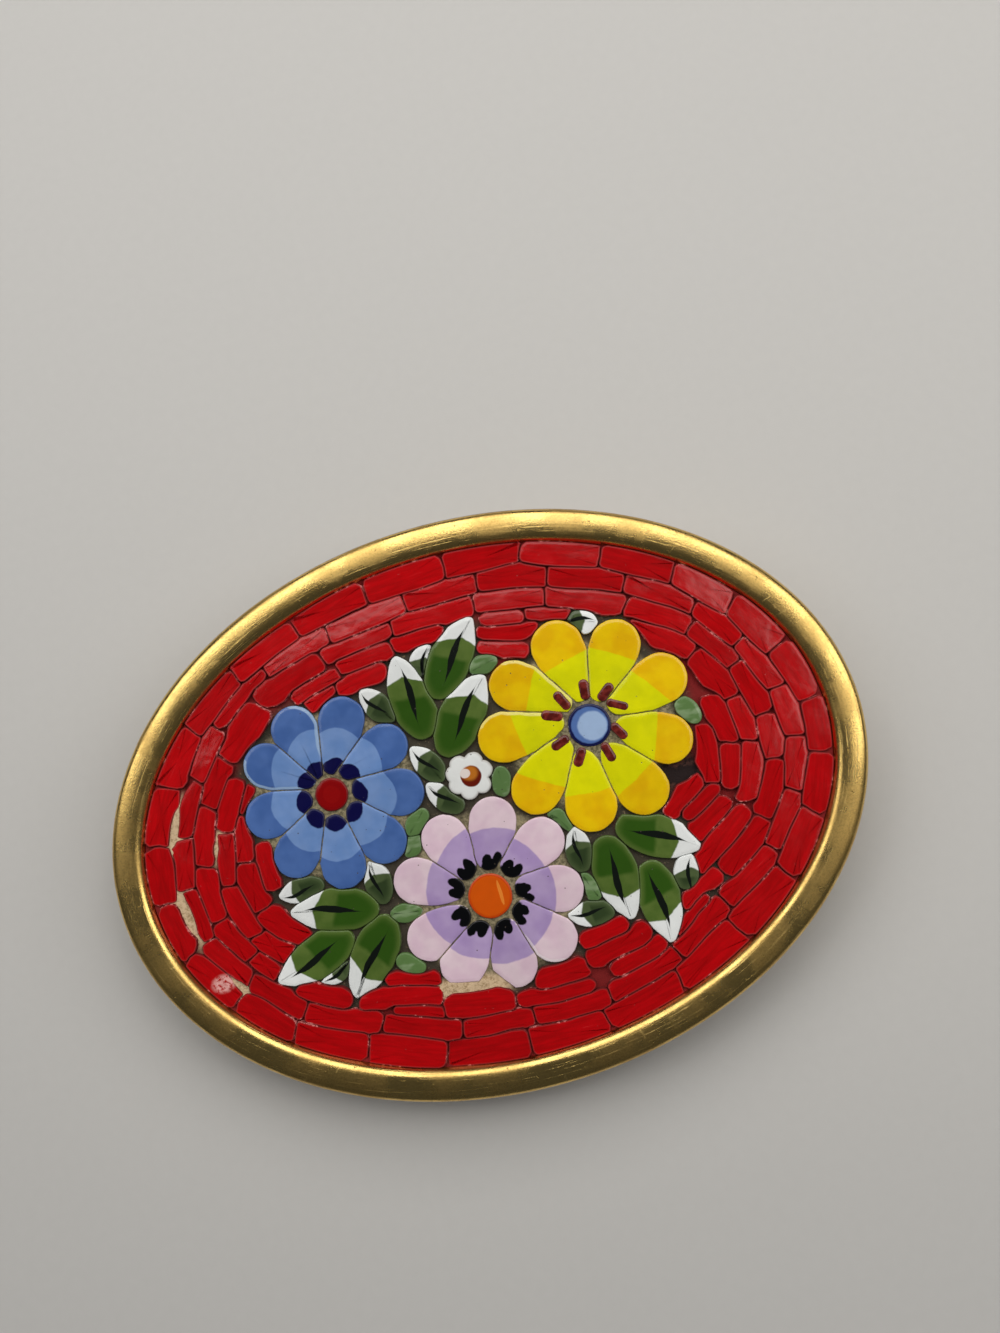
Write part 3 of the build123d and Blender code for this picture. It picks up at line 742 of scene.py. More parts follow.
def noted(tree, name):
    """A value noted on the mesh."""
    return add(tree, "ShaderNodeAttribute", attribute_name=name).outputs["Fac"]


def parts_of(tree, vector):
    """A vector's first and second parts."""
    node = add(tree, "ShaderNodeSeparateXYZ", {"Vector": vector})
    return node.outputs["X"], node.outputs["Y"]


def new_group(name, inputs, outputs):
    """An empty shader node group with named sockets, each a name and a kind."""
    group = bpy.data.node_groups.new(name, "ShaderNodeTree")
    for way, sockets in (("INPUT", inputs), ("OUTPUT", outputs)):
        for socket, kind in sockets:
            group.interface.new_socket(name=socket, in_out=way, socket_type=kind)
    return group, add(group, "NodeGroupInput"), add(group, "NodeGroupOutput")


VECTOR = "NodeSocketVector"
VALUE = "NodeSocketFloat"


def build_edge_chips(name):
    """Knocks along a stone's edge."""
    group, given, put = new_group(
        name, [("Place", VECTOR), ("Inset", VALUE), ("Reach", VALUE)], [("Chips", VALUE)])
    ragged = speckle(group, given.outputs["Place"], 5.0, 3.0, 0.65)
    patchy = speckle(group, given.outputs["Place"], 0.9, 1.0)
    reach = times(group, given.outputs["Reach"], rise_between(group, patchy, 0.54, 0.66))
    depth = times(group, reach, rise_between(group, ragged, 0.42, 0.68))
    near = reckon(group, "SUBTRACT", depth, given.outputs["Inset"])
    feed(group, put.inputs["Chips"], rise_between(group, near, 0.0, 0.03))
    return group


def build_glass_flaws(name):
    """Pits, and the slow waves of a hand ground face."""
    group, given, put = new_group(
        name, [("Place", VECTOR)], [("Pits", VALUE), ("Waves", VALUE)])
    spots = add(group, "ShaderNodeTexVoronoi", {"Vector": given.outputs["Place"], "Scale": 2.6},
                feature="F1")
    chosen = add(group, "ShaderNodeSeparateColor", {"Color": spots.outputs["Color"]})
    size = times(group, rise_between(group, chosen.outputs["Red"], 0.48, 1.0), 0.12)
    within = reckon(group, "SUBTRACT", size, spots.outputs["Distance"])
    feed(group, put.inputs["Pits"], rise_between(group, within, 0.0, 0.03))
    slow = speckle(group, given.outputs["Place"], 0.75, 2.0, 0.45)
    feed(group, put.inputs["Waves"], slow)
    return group


def group_node(tree, name, build, **values):
    """Places a shared node group, built the first time, and feeds its inputs."""
    shared = bpy.data.node_groups.get(name) or build(name)
    return add(tree, "ShaderNodeGroup", values, node_tree=shared)


def new_material(name):
    """A material with one Principled shader, and that shader."""
    material = bpy.data.materials.new(name)
    material.use_nodes = True
    tree = material.node_tree
    tree.nodes.clear()
    shader = add(tree, "ShaderNodeBsdfPrincipled")
    surface = add(tree, "ShaderNodeOutputMaterial")
    tree.links.new(shader.outputs["BSDF"], surface.inputs["Surface"])
    return material, tree, shader


def bump(tree, shader, height, strength, distance):
    """Feeds a height to a shader's normal."""
    node = add(tree, "ShaderNodeBump",
               {"Height": height, "Strength": strength, "Distance": distance})
    feed(tree, shader.inputs["Normal"], node.outputs["Normal"])


def cut_place(tree):
    """Along and across on a stone, in millimetres."""
    return parts_of(tree, add(tree, "ShaderNodeUVMap", uv_map="cut").outputs["UV"])


def glass(name, paint, chip_colour, chip_reach=0.05, rough=0.13, pits=0.8, tones=0.12,
          rub=0.35):
    """Opaque polished glass, painted through its thickness by a pattern.

    Chips reach this many millimetres in from the edge. Tones is how far stones
    differ in lightness, and rub how much rougher they are along their edges."""
    material, tree, shader = new_material(name)
    place = millimetres(tree)
    along, across = cut_place(tree)
    inset = noted(tree, "inset")
    tone = noted(tree, "tone")
    colour = paint(tree, along, across, place)
    varied = add(tree, "ShaderNodeHueSaturation")
    cloudy = speckle(tree, place, 1.6, 3.0)
    lightness = times(tree, tone, tones, 1 - tones / 2)
    lightness = reckon(tree, "ADD", lightness, times(tree, cloudy, 0.16, -0.08))
    feed(tree, varied.inputs["Value"], lightness)
    feed(tree, varied.inputs["Color"], colour)
    flaws = group_node(tree, "Glass flaws", build_glass_flaws, Place=place).outputs
    chips = group_node(tree, "Edge chips", build_edge_chips, Place=place, Inset=inset,
                       Reach=chip_reach).outputs["Chips"]
    pitted = blend_colours(tree, times(tree, flaws["Pits"], pits), varied.outputs["Color"],
                           (70, 60, 50))
    chipped = blend_colours(tree, times(tree, chips, 0.75), pitted, chip_colour)
    feed(tree, shader.inputs["Base Color"], chipped)
    roughness = times(tree, speckle(tree, place, 0.6, 2.0), 0.12, rough - 0.03)
    roughness = times(tree, chips, 0.25, roughness)
    roughness = times(tree, rise_between(tree, inset, 0.12, 0.02), rub, roughness)
    feed(tree, shader.inputs["Roughness"], roughness)
    height = times(tree, chips, -0.05, flaws["Waves"])
    height = times(tree, flaws["Pits"], -0.10, height)
    bump(tree, shader, height, 1.0, 0.035 * MM)
    shader.inputs["IOR"].default_value = 1.52
    return material


def spot(tree, along, across, centre, size, blur=0.1):
    """1 inside an oval spot on a stone, 0 outside."""
    x, y = (reckon(tree, "DIVIDE", reckon(tree, "SUBTRACT", value, middle), half)
            for value, middle, half in zip((along, across), centre, size))
    squares = times(tree, x, x, times(tree, y, y))
    return rise_between(tree, reckon(tree, "SQRT", squares), 1 + blur, 1 - blur)


def wavy(tree, value, place, scale, size):
    """A value that wanders with the place, so that a boundary isn't ruled."""
    return reckon(tree, "ADD", value, times(tree, speckle(tree, place, scale), 2 * size, -size))


def petal_paint(outer, rich, inner, pale, bow, highlight_colour, mark_colour=None, marks=None):
    """A petal's outer and inner colours, and the dark marks at its root.

    The colours meet where the petal's own edge and slant say, on a line whose
    middle bows outwards. Rich and pale are what the two colours drift to. A petal's
    bevel is the side along whose edge runs a light line of painted highlight."""
    def paint(tree, along, across, place):
        line = times(tree, noted(tree, "slant"), across, along)
        line = times(tree, times(tree, across, across), bow, line)
        line = wavy(tree, line, place, 1.1, 0.09)
        beyond = reckon(tree, "SUBTRACT", line, noted(tree, "edge"))
        outside = rise_between(tree, beyond, -0.05, 0.05)
        drift = rise_between(tree, speckle(tree, place, 0.7, 2.0), 0.35, 0.65)
        outer_colour = blend_colours(tree, drift, outer, rich)
        inner_colour = blend_colours(tree, drift, inner, pale)
        colour = blend_colours(tree, outside, inner_colour, outer_colour)
        if marks:
            ragged_along = wavy(tree, along, place, 3.0, 0.06)
            ragged_across = wavy(tree, across, place, 3.5, 0.06)
            marked = marks(tree, ragged_along, ragged_across)
            colour = blend_colours(tree, marked, colour, mark_colour)
        # painted highlight: a light line along the edge on the petal's bevel side
        side = times(tree, across, noted(tree, "bevel"))
        side = rise_between(tree, side, 0.30, 0.50)
        width = wavy(tree, times(tree, side, 0.20), place, 1.0, 0.06)
        painted_highlight = reckon(tree, "SUBTRACT", width, noted(tree, "inset"))
        painted_highlight = rise_between(tree, painted_highlight, 0.0, 0.06)
        painted_highlight = times(tree, painted_highlight, times(tree, side, 0.7))
        return blend_colours(tree, painted_highlight, colour, highlight_colour)
    return paint


def blue_marks(tree, along, across):
    """The whole root, with a round end."""
    line = times(tree, times(tree, across, across), 0.9, along)
    return rise_between(tree, line, 2.18, 2.08)


def lilac_marks(tree, along, across):
    """Two lobes that spread from one wide root."""
    left = spot(tree, along, across, (1.94, 0.30), (0.42, 0.28))
    right = spot(tree, along, across, (2.02, -0.27), (0.50, 0.28))
    root = spot(tree, along, across, (1.62, 0.0), (0.52, 0.60))
    return reckon(tree, "MAXIMUM", root, reckon(tree, "MAXIMUM", left, right))


def leaf_paint(length, white_end, vein, middle, base, vein_reach):
    """A leaf: white tip, dark vein, olive middle and green base.

    vein is its half width and vein_reach the shares of the length it runs between."""
    def paint(tree, along, across, place):
        slanted = times(tree, noted(tree, "slant"), across)
        wide = reckon(tree, "ABSOLUTE", across)
        line = wavy(tree, reckon(tree, "ADD", along, slanted), place, 1.5, 0.10)
        deep = rise_between(tree, line, 0.50 * length, 0.56 * length)
        rim_share = rise_between(tree, noted(tree, "inset"), 0.40, 0.05)
        base_colour = blend_colours(tree, times(tree, rim_share, 0.75), base, middle)
        cloudy = rise_between(tree, speckle(tree, place, 1.1, 2.0), 0.35, 0.65)
        middle_colour = blend_colours(tree, times(tree, cloudy, 0.35), middle, base)
        green = blend_colours(tree, deep, middle_colour, base_colour)
        tip_line = times(tree, wide, -0.42, line)
        coloured = rise_between(tree, tip_line, white_end - 0.05, white_end + 0.05)
        colour = blend_colours(tree, coloured, (240, 243, 242), green)
        bend = reckon(tree, "SINE", times(tree, along, 5.2 / length))
        drift = times(tree, times(tree, bend, 0.15), reckon(tree, "SIGN", noted(tree, "slant")),
                      across)
        drift = wavy(tree, drift, place, 1.6, 0.05)
        start, end = (share * length for share in vein_reach)
        taper = times(tree, rise_between(tree, along, start, start + 0.42 * (end - start)),
                      rise_between(tree, along, end, end - 0.5 * (end - start)))
        gap = reckon(tree, "SUBTRACT", times(tree, taper, vein), reckon(tree, "ABSOLUTE", drift))
        return blend_colours(tree, rise_between(tree, gap, -0.015, 0.03), colour, (14, 20, 14))
    return paint


def oval_paint(tree, along, across, place):
    """Sage green with a lighter streak."""
    streak = speckle(tree, stretched(tree, place, (0.7, 1.6, 1.0)), 1.1)
    streak = rise_between(tree, streak, 0.50, 0.66)
    return blend_colours(tree, times(tree, streak, 0.6), (94, 126, 72), (148, 170, 130))


def red_paint(tree, along, across, place):
    """Sealing wax red with drawn streaks, crushed at one old knock, and darkened by painted shade
    along the edges.
    """
    joined = add(tree, "ShaderNodeCombineXYZ")
    feed(tree, joined.inputs["X"], times(tree, along, 0.35))
    feed(tree, joined.inputs["Y"], times(tree, across, 3.2))
    feed(tree, joined.inputs["Z"], times(tree, noted(tree, "slant"), 7.0))
    drawn = speckle(tree, joined.outputs["Vector"], 1.5, 3.0, 0.6)
    colour = blend_colours(tree, rise_between(tree, drawn, 0.3, 0.7), (170, 0, 3), (194, 0, 7))
    streaks = rise_between(tree, drawn, 0.70, 0.78)
    colour = blend_colours(tree, times(tree, streaks, 0.25), colour, (214, 70, 72))
    # painted shade: each bar darkens to deep red along its edges, towards the joints
    edge = rise_between(tree, noted(tree, "inset"), 0.09, 0.0)
    colour = blend_colours(tree, times(tree, edge, 0.8), colour, (76, 0, 0))
    knock = spot(tree, *parts_of(tree, place), (-17.2, -5.9), (0.62, 0.46), 0.35)
    crumbs = rise_between(tree, speckle(tree, place, 4.0, 3.0, 0.7), 0.36, 0.54)
    return blend_colours(tree, times(tree, knock, crumbs), colour, (240, 178, 172))


def add_flower(name, heart_material, petal_material, petals, seed):
    """A flower's heart and its petals.

    petals holds each petal's edge, where its colours meet in millimetres from the
    flower's middle, the slant of that line, and the side of its painted highlight."""
    settings = bpy.context.scene.brooch_stones
    heart = f"{name}_flower_heart"
    centre = level_middle(heart)
    plain = {"slant": 0.0, "edge": 0.0, "bevel": 0.0}
    cut_stones(heart, f"{name}_heart_glass", heart_material,
               settings.petal_tilt, settings.petal_growth,
               lay=lambda outline: (centre, 0.0, plain), seed=seed)
    for number, marks in enumerate(petals, start=1):
        node = f"{name}_petal_{number}"
        middle = level_middle(node)
        heading = math.atan2(middle.y - centre.y, middle.x - centre.x)
        marks = dict(zip(("edge", "slant", "bevel"), marks))
        cut_stones(node, f"{node}_glass", petal_material, settings.petal_tilt,
                   settings.petal_growth,
                   lay=lambda outline, turn=heading, marks=marks: (centre, turn, marks),
                   seed=seed + number)


def dot_paint(base, dot, ring, centre, dot_size, ring_size):
    """A heart with a dot in a ring."""
    def paint(tree, along, across, place):
        along = wavy(tree, along, place, 2.0, 0.05)
        across = wavy(tree, across, place, 2.2, 0.05)
        inside_ring = spot(tree, along, across, (0.0, 0.0), (ring_size, ring_size), 0.05)
        inside_dot = spot(tree, along, across, centre, dot_size, 0.08)
        colour = blend_colours(tree, inside_ring, ring, base)
        return blend_colours(tree, inside_dot, colour, dot)
    return paint


def floret_paint(tree, along, across, place):
    """White lobes round an amber middle with a dark crescent and a white dot."""
    along = wavy(tree, along, place, 2.0, 0.04)
    across = wavy(tree, across, place, 2.2, 0.04)
    lobes = blend_colours(tree, rise_between(tree, noted(tree, "inset"), 0.02, 0.16),
                          (196, 194, 190), (234, 236, 234))
    dark = spot(tree, along, across, (0.05, -0.02), (0.60, 0.60), 0.06)
    amber = spot(tree, along, across, (0.02, 0.16), (0.46, 0.40), 0.30)
    dot = spot(tree, along, across, (-0.24, 0.22), (0.29, 0.27), 0.10)
    colour = blend_colours(tree, dark, lobes, (104, 24, 6))
    colour = blend_colours(tree, amber, colour, (190, 112, 32))
    return blend_colours(tree, dot, colour, (234, 222, 214))


def strip_paint(tree, along, across, place):
    """Brown red glass with a paler streak."""
    cloudy = rise_between(tree, speckle(tree, place, 2.4, 2.0), 0.40, 0.65)
    return blend_colours(tree, cloudy, (88, 22, 17), (128, 44, 37))


# Each flower's petals: edge, slant and side of the painted highlight
YELLOW_PETALS = [
    (3.90, 0.12, 0), (3.95, 0.35, -1), (4.15, 0.30, -1), (4.20, 0.45, 0), (3.85, 0.25, 0),
    (4.00, 0.05, 0), (3.85, 0.12, 0), (4.10, 0.30, 0), (4.30, 0.05, 0),
]
BLUE_PETALS = [
    (3.85, 0.30, -0.6), (3.90, 0.35, 1), (3.55, 0.10, 0), (3.60, 0.08, 0), (3.83, 0.02, 0),
    (3.65, 0.00, 0), (3.75, 0.12, 0), (3.70, -0.15, 0), (3.83, -0.08, 0),
]
LILAC_PETALS = [
    (3.85, 0.10, 0), (3.75, 0.20, 0), (3.68, 0.10, 0), (3.62, 0.15, 0), (3.62, 0.10, 0),
    (3.90, -0.12, 0), (3.70, 0.02, -0.5), (3.75, 0.05, 0), (3.50, 0.0, 0),
]

# The brown strips at the yellow petals' roots: distance from the flower's middle
# and length in millimetres, bearing from it and heading in degrees
YELLOW_STRIPS = [
    (2.10, 1.25, 122, 116),
    (2.05, 1.20, 82, 84),
    (2.10, 1.20, 48, 38),
    (1.98, 1.30, 20, -30),
    (1.72, 1.15, -27, -60),
    (1.85, 1.20, -71, -75),
    (1.90, 1.15, -123, -124),
    (1.94, 1.15, -165, -160),
    (2.20, 1.25, 150, 158),
]
STRIP_WIDTHS = (0.54, 0.62)


class BROOCH_OT_yellow_strips(bpy.types.Operator):
    """Set the brown strips at the roots of the yellow petals"""

    bl_idname = "brooch.yellow_strips"
    bl_label = "Yellow flower's strips"

    def execute(self, context):
        settings = context.scene.brooch_stones
        centre = level_middle("yellow_flower_heart")
        chooser = random.Random(settings.seed)
        strips = []
        for distance, length, bearing, degrees in YELLOW_STRIPS:
            place = (centre.x + distance * MM * math.cos(math.radians(bearing)),
                     centre.y + distance * MM * math.sin(math.radians(bearing)))
            heading = math.radians(degrees)
            width = chooser.uniform(*STRIP_WIDTHS) * MM
            bpy.ops.object.select_all(action="DESELECT")
            bpy.ops.mesh.primitive_circle_add(
                vertices=20, radius=width / 2, fill_type="NGON",
                location=(0, 0, settings.strip_rise))
            strip = context.active_object
            bpy.ops.object.transform_apply(location=True, rotation=False, scale=False)
            stretch = length * MM / 2 - width / 2
            for vertex in strip.data.vertices:
                vertex.co.x += math.copysign(stretch, vertex.co.x)
            strip.data.transform(Matrix.Translation((*place, 0)) @ Matrix.Rotation(heading, 4, "Z"))
            outline = grind(strip, settings, settings.strip_rise - settings.strip_depth)
            note_cut(strip, outline, place, heading, {"tone": chooser.random()})
            strips.append(strip)
        material = glass("Brown strip glass", strip_paint, (150, 90, 80), rough=0.1, pits=0.2)
        lay_down(join(strips, "yellow_flower_strips"), material)
        return {"FINISHED"}


class BROOCH_OT_blue_flower(bpy.types.Operator):
    """Cut the blue flower's petals and its red heart"""

    bl_idname = "brooch.blue_flower"
    bl_label = "Blue flower"

    def execute(self, context):
        petals = glass("Blue glass", petal_paint(
            outer=(68, 102, 166), rich=(80, 114, 178), inner=(108, 144, 202),
            pale=(122, 154, 208), bow=0.36, highlight_colour=(168, 196, 226),
            mark_colour=(8, 6, 66), marks=blue_marks), (150, 175, 215))
        heart = glass("Dark red glass", dot_paint(
            base=(142, 0, 2), dot=(150, 4, 4), ring=(128, 0, 2), centre=(0, 0),
            dot_size=(0.5, 0.5), ring_size=0.86), (190, 90, 80))
        add_flower("blue", heart, petals, BLUE_PETALS, 100)
        return {"FINISHED"}


class BROOCH_OT_yellow_flower(bpy.types.Operator):
    """Cut the yellow flower's petals and its pale blue heart"""

    bl_idname = "brooch.yellow_flower"
    bl_label = "Yellow flower"

    def execute(self, context):
        petals = glass("Yellow glass", petal_paint(
            outer=(236, 184, 0), rich=(244, 202, 0), inner=(220, 220, 0),
            pale=(232, 230, 0), bow=0.03, highlight_colour=(252, 240, 140)), (250, 232, 120))
        heart = glass("Pale blue glass", dot_paint(
            base=(88, 120, 182), dot=(168, 194, 230), ring=(14, 18, 74), centre=(0.14, -0.07),
            dot_size=(0.84, 0.84), ring_size=1.04), (190, 205, 225))
        add_flower("yellow", heart, petals, YELLOW_PETALS,
                   200)
        return {"FINISHED"}


class BROOCH_OT_lilac_flower(bpy.types.Operator):
    """Cut the lilac flower's petals and its orange heart"""

    bl_idname = "brooch.lilac_flower"
    bl_label = "Lilac flower"

    def execute(self, context):
        petals = glass("Lilac glass", petal_paint(
            outer=(228, 198, 214), rich=(236, 212, 222), inner=(174, 148, 198),
            pale=(186, 162, 206), bow=0.15, highlight_colour=(244, 232, 236),
            mark_colour=(4, 4, 6), marks=lilac_marks), (242, 226, 230), chip_reach=0.07)
        heart = glass("Orange glass", dot_paint(
            base=(218, 88, 4), dot=(238, 136, 48), ring=(206, 70, 0), centre=(0.62, 0.05),
            dot_size=(0.10, 0.72), ring_size=1.12), (236, 150, 80))
        add_flower("lilac", heart, petals, LILAC_PETALS, 300)
        return {"FINISHED"}


class BROOCH_OT_floret(bpy.types.Operator):
    """Cut the white floret"""

    bl_idname = "brooch.floret"
    bl_label = "White floret"

    def execute(self, context):
        settings = context.scene.brooch_stones
        centre = level_middle("white_floret")
        material = glass("White glass", floret_paint, (245, 245, 240), chip_reach=0.04)
        cut_stones("white_floret", "white_floret_glass", material,
                   settings.petal_tilt, settings.petal_growth,
                   lay=lambda outline: (centre, 0.0, {}), seed=400)
        return {"FINISHED"}


# Headings of the large leaves' tips, in degrees
LARGE_LEAF_HEADINGS = [50, 96, 49, 168, 198, 231, 329, 274, 271]
# How much the line between a leaf's colours leans, to and fro from leaf to leaf
LARGE_LEAF_SLANT = 0.22
SMALL_LEAF_SLANT = 0.15

# Small leaves: middle in millimetres and heading of the tip in degrees
SMALL_LEAVES = [
    (-4.5, 6.9, 121),
    (-1.2, 8.7, 59),
    (-2.5, 2.9, 121),
    (-2.1, 0.8, 130),
    (8.2, 8.3, 341),
    (4.4, -4.1, 84),
    (4.1, -7.7, 172),
    (9.9, -6.8, 69),
    (-11.4, -2.0, 180),
    (-7.1, -2.7, 93),
    (-10.9, -6.9, 196),
]


def from_tip(outline, heading, slant):
    """A leaf's own directions: from its tip, back along its heading."""
    way = (math.cos(heading), math.sin(heading))
    tip = max(outline, key=lambda point: point[0] * way[0] + point[1] * way[1])
    return tip, heading + math.pi, {"slant": slant}


def small_leaf_lay(outline):
    """The directions of the small leaf that stands nearest to this outline."""
    x, y = np.array(outline).mean(axis=0) / MM
    row = min(SMALL_LEAVES, key=lambda leaf: math.hypot(leaf[0] - x, leaf[1] - y))
    return from_tip(outline, math.radians(row[2]), SMALL_LEAF_SLANT)


class BROOCH_OT_leaves(bpy.types.Operator):
    """Cut the large and the small leaves"""

    bl_idname = "brooch.leaves"
    bl_label = "Leaves"

    def execute(self, context):
        settings = context.scene.brooch_stones
        large = glass("Leaf glass", leaf_paint(
            length=4.9, white_end=1.25, vein=0.20, middle=(92, 114, 50), base=(48, 84, 16),
            vein_reach=(0.12, 0.88)), (150, 170, 120))
        small = glass("Small leaf glass", leaf_paint(
            length=2.5, white_end=0.75, vein=0.12, middle=(82, 98, 60), base=(50, 66, 36),
            vein_reach=(0.02, 0.95)), (150, 165, 140))
        for number, degrees in enumerate(LARGE_LEAF_HEADINGS, start=1):
            node = f"leaf_{number}"
            slant = LARGE_LEAF_SLANT if number % 2 else -LARGE_LEAF_SLANT
            cut_stones(node, f"{node}_glass", large, settings.petal_tilt,
                       settings.leaf_growth,
                       lay=lambda outline, turn=math.radians(degrees), slant=slant:
                       from_tip(outline, turn, slant), seed=500 + number)
        cut_stones("small_leaves", "small_leaves_glass", small,
                   settings.petal_tilt, settings.leaf_growth, lay=small_leaf_lay, seed=600)
        return {"FINISHED"}


class BROOCH_OT_ovals(bpy.types.Operator):
    """Cut the pale green ovals"""

    bl_idname = "brooch.ovals"
    bl_label = "Green ovals"

    def execute(self, context):
        settings = context.scene.brooch_stones
        material = glass("Pale green glass", oval_paint, (190, 205, 180), chip_reach=0.08)
        cut_stones("green_ovals", "green_ovals_glass", material,
                   settings.petal_tilt, settings.leaf_growth, seed=700)
        return {"FINISHED"}


class BROOCH_OT_tesserae(bpy.types.Operator):
    """Cut the red bars of the ground"""

    bl_idname = "brooch.tesserae"
    bl_label = "Red tesserae"

    def execute(self, context):
        settings = context.scene.brooch_stones
        # the pale chips along the bars' edges are partly real chipped glass and partly painted
        # glints
        material = glass("Red glass", red_paint, (232, 140, 136), chip_reach=0.09, rough=0.12,
                         pits=0.1, tones=0.16, rub=0.75)
        cut_stones("red_tesserae", "red_tesserae_glass", material,
                   settings.bar_tilt, settings.bar_growth,
                   corner_round=settings.corner_round, seed=800)
        return {"FINISHED"}


# Reach and softness in millimetres of the cement inside flowers, round them and
# round leaves
FLOWER_CEMENT = (4.5, 0.6)
PETAL_CEMENT = (5.3, 1.0)
LEAF_CEMENT = (2.2, 0.9)
# How far bare cement runs on beyond its spot, in millimetres
BARE_MARGIN = 0.35
# The cement rises to the rim over these shares of the oval
BORDER_START = 0.975
BORDER_WIDTH = 0.02
# The dug hole, the last of the bare spots, is deeper than low cement by this factor
HOLE_DEPTH = 1.5


def nearness(x, y, place, reach, soft):
    """1 within reach of a place, falling to 0 over the soft distance beyond."""
    share = clamp(1.0 - (math.hypot(x - place[0], y - place[1]) - reach) / soft)
    return share * share * (3 - 2 * share)


def bare_share(x, y, spot):
    """1 inside a bare spot, falling to 0 outside it."""
    turn = math.radians(spot[2])
    along = (x - spot[0]) * math.cos(turn) + (y - spot[1]) * math.sin(turn)
    across = (y - spot[1]) * math.cos(turn) - (x - spot[0]) * math.sin(turn)
    out = math.hypot(along / (spot[3] / 2 + BARE_MARGIN), across / (spot[4] / 2 + BARE_MARGIN))
    return clamp(2.6 - 1.6 * out)


def cement_material():
    """Gritty cement: clean where it shows, dark with painted shade between leaves, stained in the
    red.
    """
    settings = bpy.context.scene.brooch_cement
    material, tree, shader = new_material("Cement")
    place = millimetres(tree)
    grit = speckle(tree, place, 4.5, 4.0, 0.7)
    lumps = speckle(tree, place, 1.2, 3.0, 0.6)
    clean = blend_colours(tree, rise_between(tree, grit, 0.30, 0.56), (168, 138, 100),
                          (*settings.pale, 1.0))
    dirt = rise_between(tree, lumps, 0.52, 0.66)
    grey = blend_colours(tree, rise_between(tree, grit, 0.36, 0.62), (92, 86, 62),
                         (156, 144, 112))
    grey = blend_colours(tree, times(tree, dirt, 0.5), grey, (70, 60, 42))
    crumbs = rise_between(tree, grit, 0.60, 0.68)
    # painted shade: dark cement between the leaves, with paler crumbs
    shadowed = blend_colours(tree, crumbs, (*settings.dark, 1.0), (120, 104, 78))
    stained = blend_colours(tree, crumbs, (*settings.stained, 1.0), (126, 30, 24))
    colour = blend_colours(tree, noted(tree, "bouquet"), stained, shadowed)
    # painted shade: the hole is near black, with brown crumbs
    dug = blend_colours(tree, rise_between(tree, lumps, 0.50, 0.64), (26, 8, 8), (84, 52, 44))
    for name, other in (("grey", grey), ("hole", dug), ("bare", clean)):
        colour = blend_colours(tree, noted(tree, name), colour, other)
    feed(tree, shader.inputs["Base Color"], colour)
    shader.inputs["Roughness"].default_value = 0.9
    bump(tree, shader, grit, 1.0, 0.06 * MM)
    return material


class BROOCH_OT_cement(bpy.types.Operator):
    """Fill the gaps between the stones with cement"""

    bl_idname = "brooch.cement"
    bl_label = "Cement"

    def execute(self, context):
        settings = context.scene.brooch_cement
        material = cement_material()
        edge = PICTURE_EDGE / MM
        half_length = edge.x + settings.under_rim / MM
        half_width = edge.y + settings.under_rim / MM
        bpy.ops.object.select_all(action="DESELECT")
        bpy.ops.mesh.primitive_grid_add(x_subdivisions=200, y_subdivisions=150, size=2)
        piece = context.active_object
        piece.name = "cement_surface"
        flowers = [level_middle(name) / MM for name in STONE_NODES if "heart" in name]
        leaves = [level_middle(name) / MM for name in STONE_NODES
                  if "leaf" in name or "floret" in name]
        leaves += [Vector((*leaf[:2], 0)) for leaf in SMALL_LEAVES]
        marks = {"grey": [], "bare": [], "bouquet": [], "hole": []}
        for vertex in piece.data.vertices:
            x, y = vertex.co.x, vertex.co.y
            across = x * math.sqrt(1 - y * y / 2) * half_length
            up = y * math.sqrt(1 - x * x / 2) * half_width
            flower = max(nearness(across, up, place, *FLOWER_CEMENT) for place in flowers)
            petals = max(nearness(across, up, place, *PETAL_CEMENT) for place in flowers)
            leaf = max(nearness(across, up, place, *LEAF_CEMENT) for place in leaves)
            bouquet = max(petals, leaf)
            bare = max(bare_share(across, up, spot) for spot in BARE_SPOTS[:-1])
            hole = bare_share(across, up, BARE_SPOTS[-1])
            border = math.hypot(across / half_length, up / half_width)
            border = clamp((border - BORDER_START) / BORDER_WIDTH)
            depth = settings.low
            depth += (settings.middle - settings.low) * bouquet
            depth += (settings.high - settings.middle) * flower
            depth += (settings.bare - depth) * bare
            depth += (settings.high - depth) * border
            depth += (HOLE_DEPTH * settings.low - depth) * hole
            vertex.co = (across * MM, up * MM, -depth)
            for name, value in (("grey", flower * (1 - hole)), ("bare", bare * (1 - hole)),
                                ("bouquet", bouquet), ("hole", hole)):
                marks[name].append(value)
        for name, values in marks.items():
            note(piece.data, name, values)
        for size, share in ((1.6 * MM, 2.0), (0.4 * MM, 0.8)):
            push(piece, "Lumps", "Z", size, settings.rough * share, 0.6)
        foot = level_box("red_tesserae")[0].z
        mesh = edit(piece)
        pick(mesh, [side for side in mesh.edges if side.is_boundary])
        draw_out(foot)
        bpy.ops.transform.resize(value=(1, 1, 0), center_override=(0, 0, foot))
        bpy.ops.mesh.edge_face_add()
        face_outward()
        smooth(piece, 60)
        lay_down(piece, material)
        dress(nodes["cement_bed"].data, material)
        return {"FINISHED"}


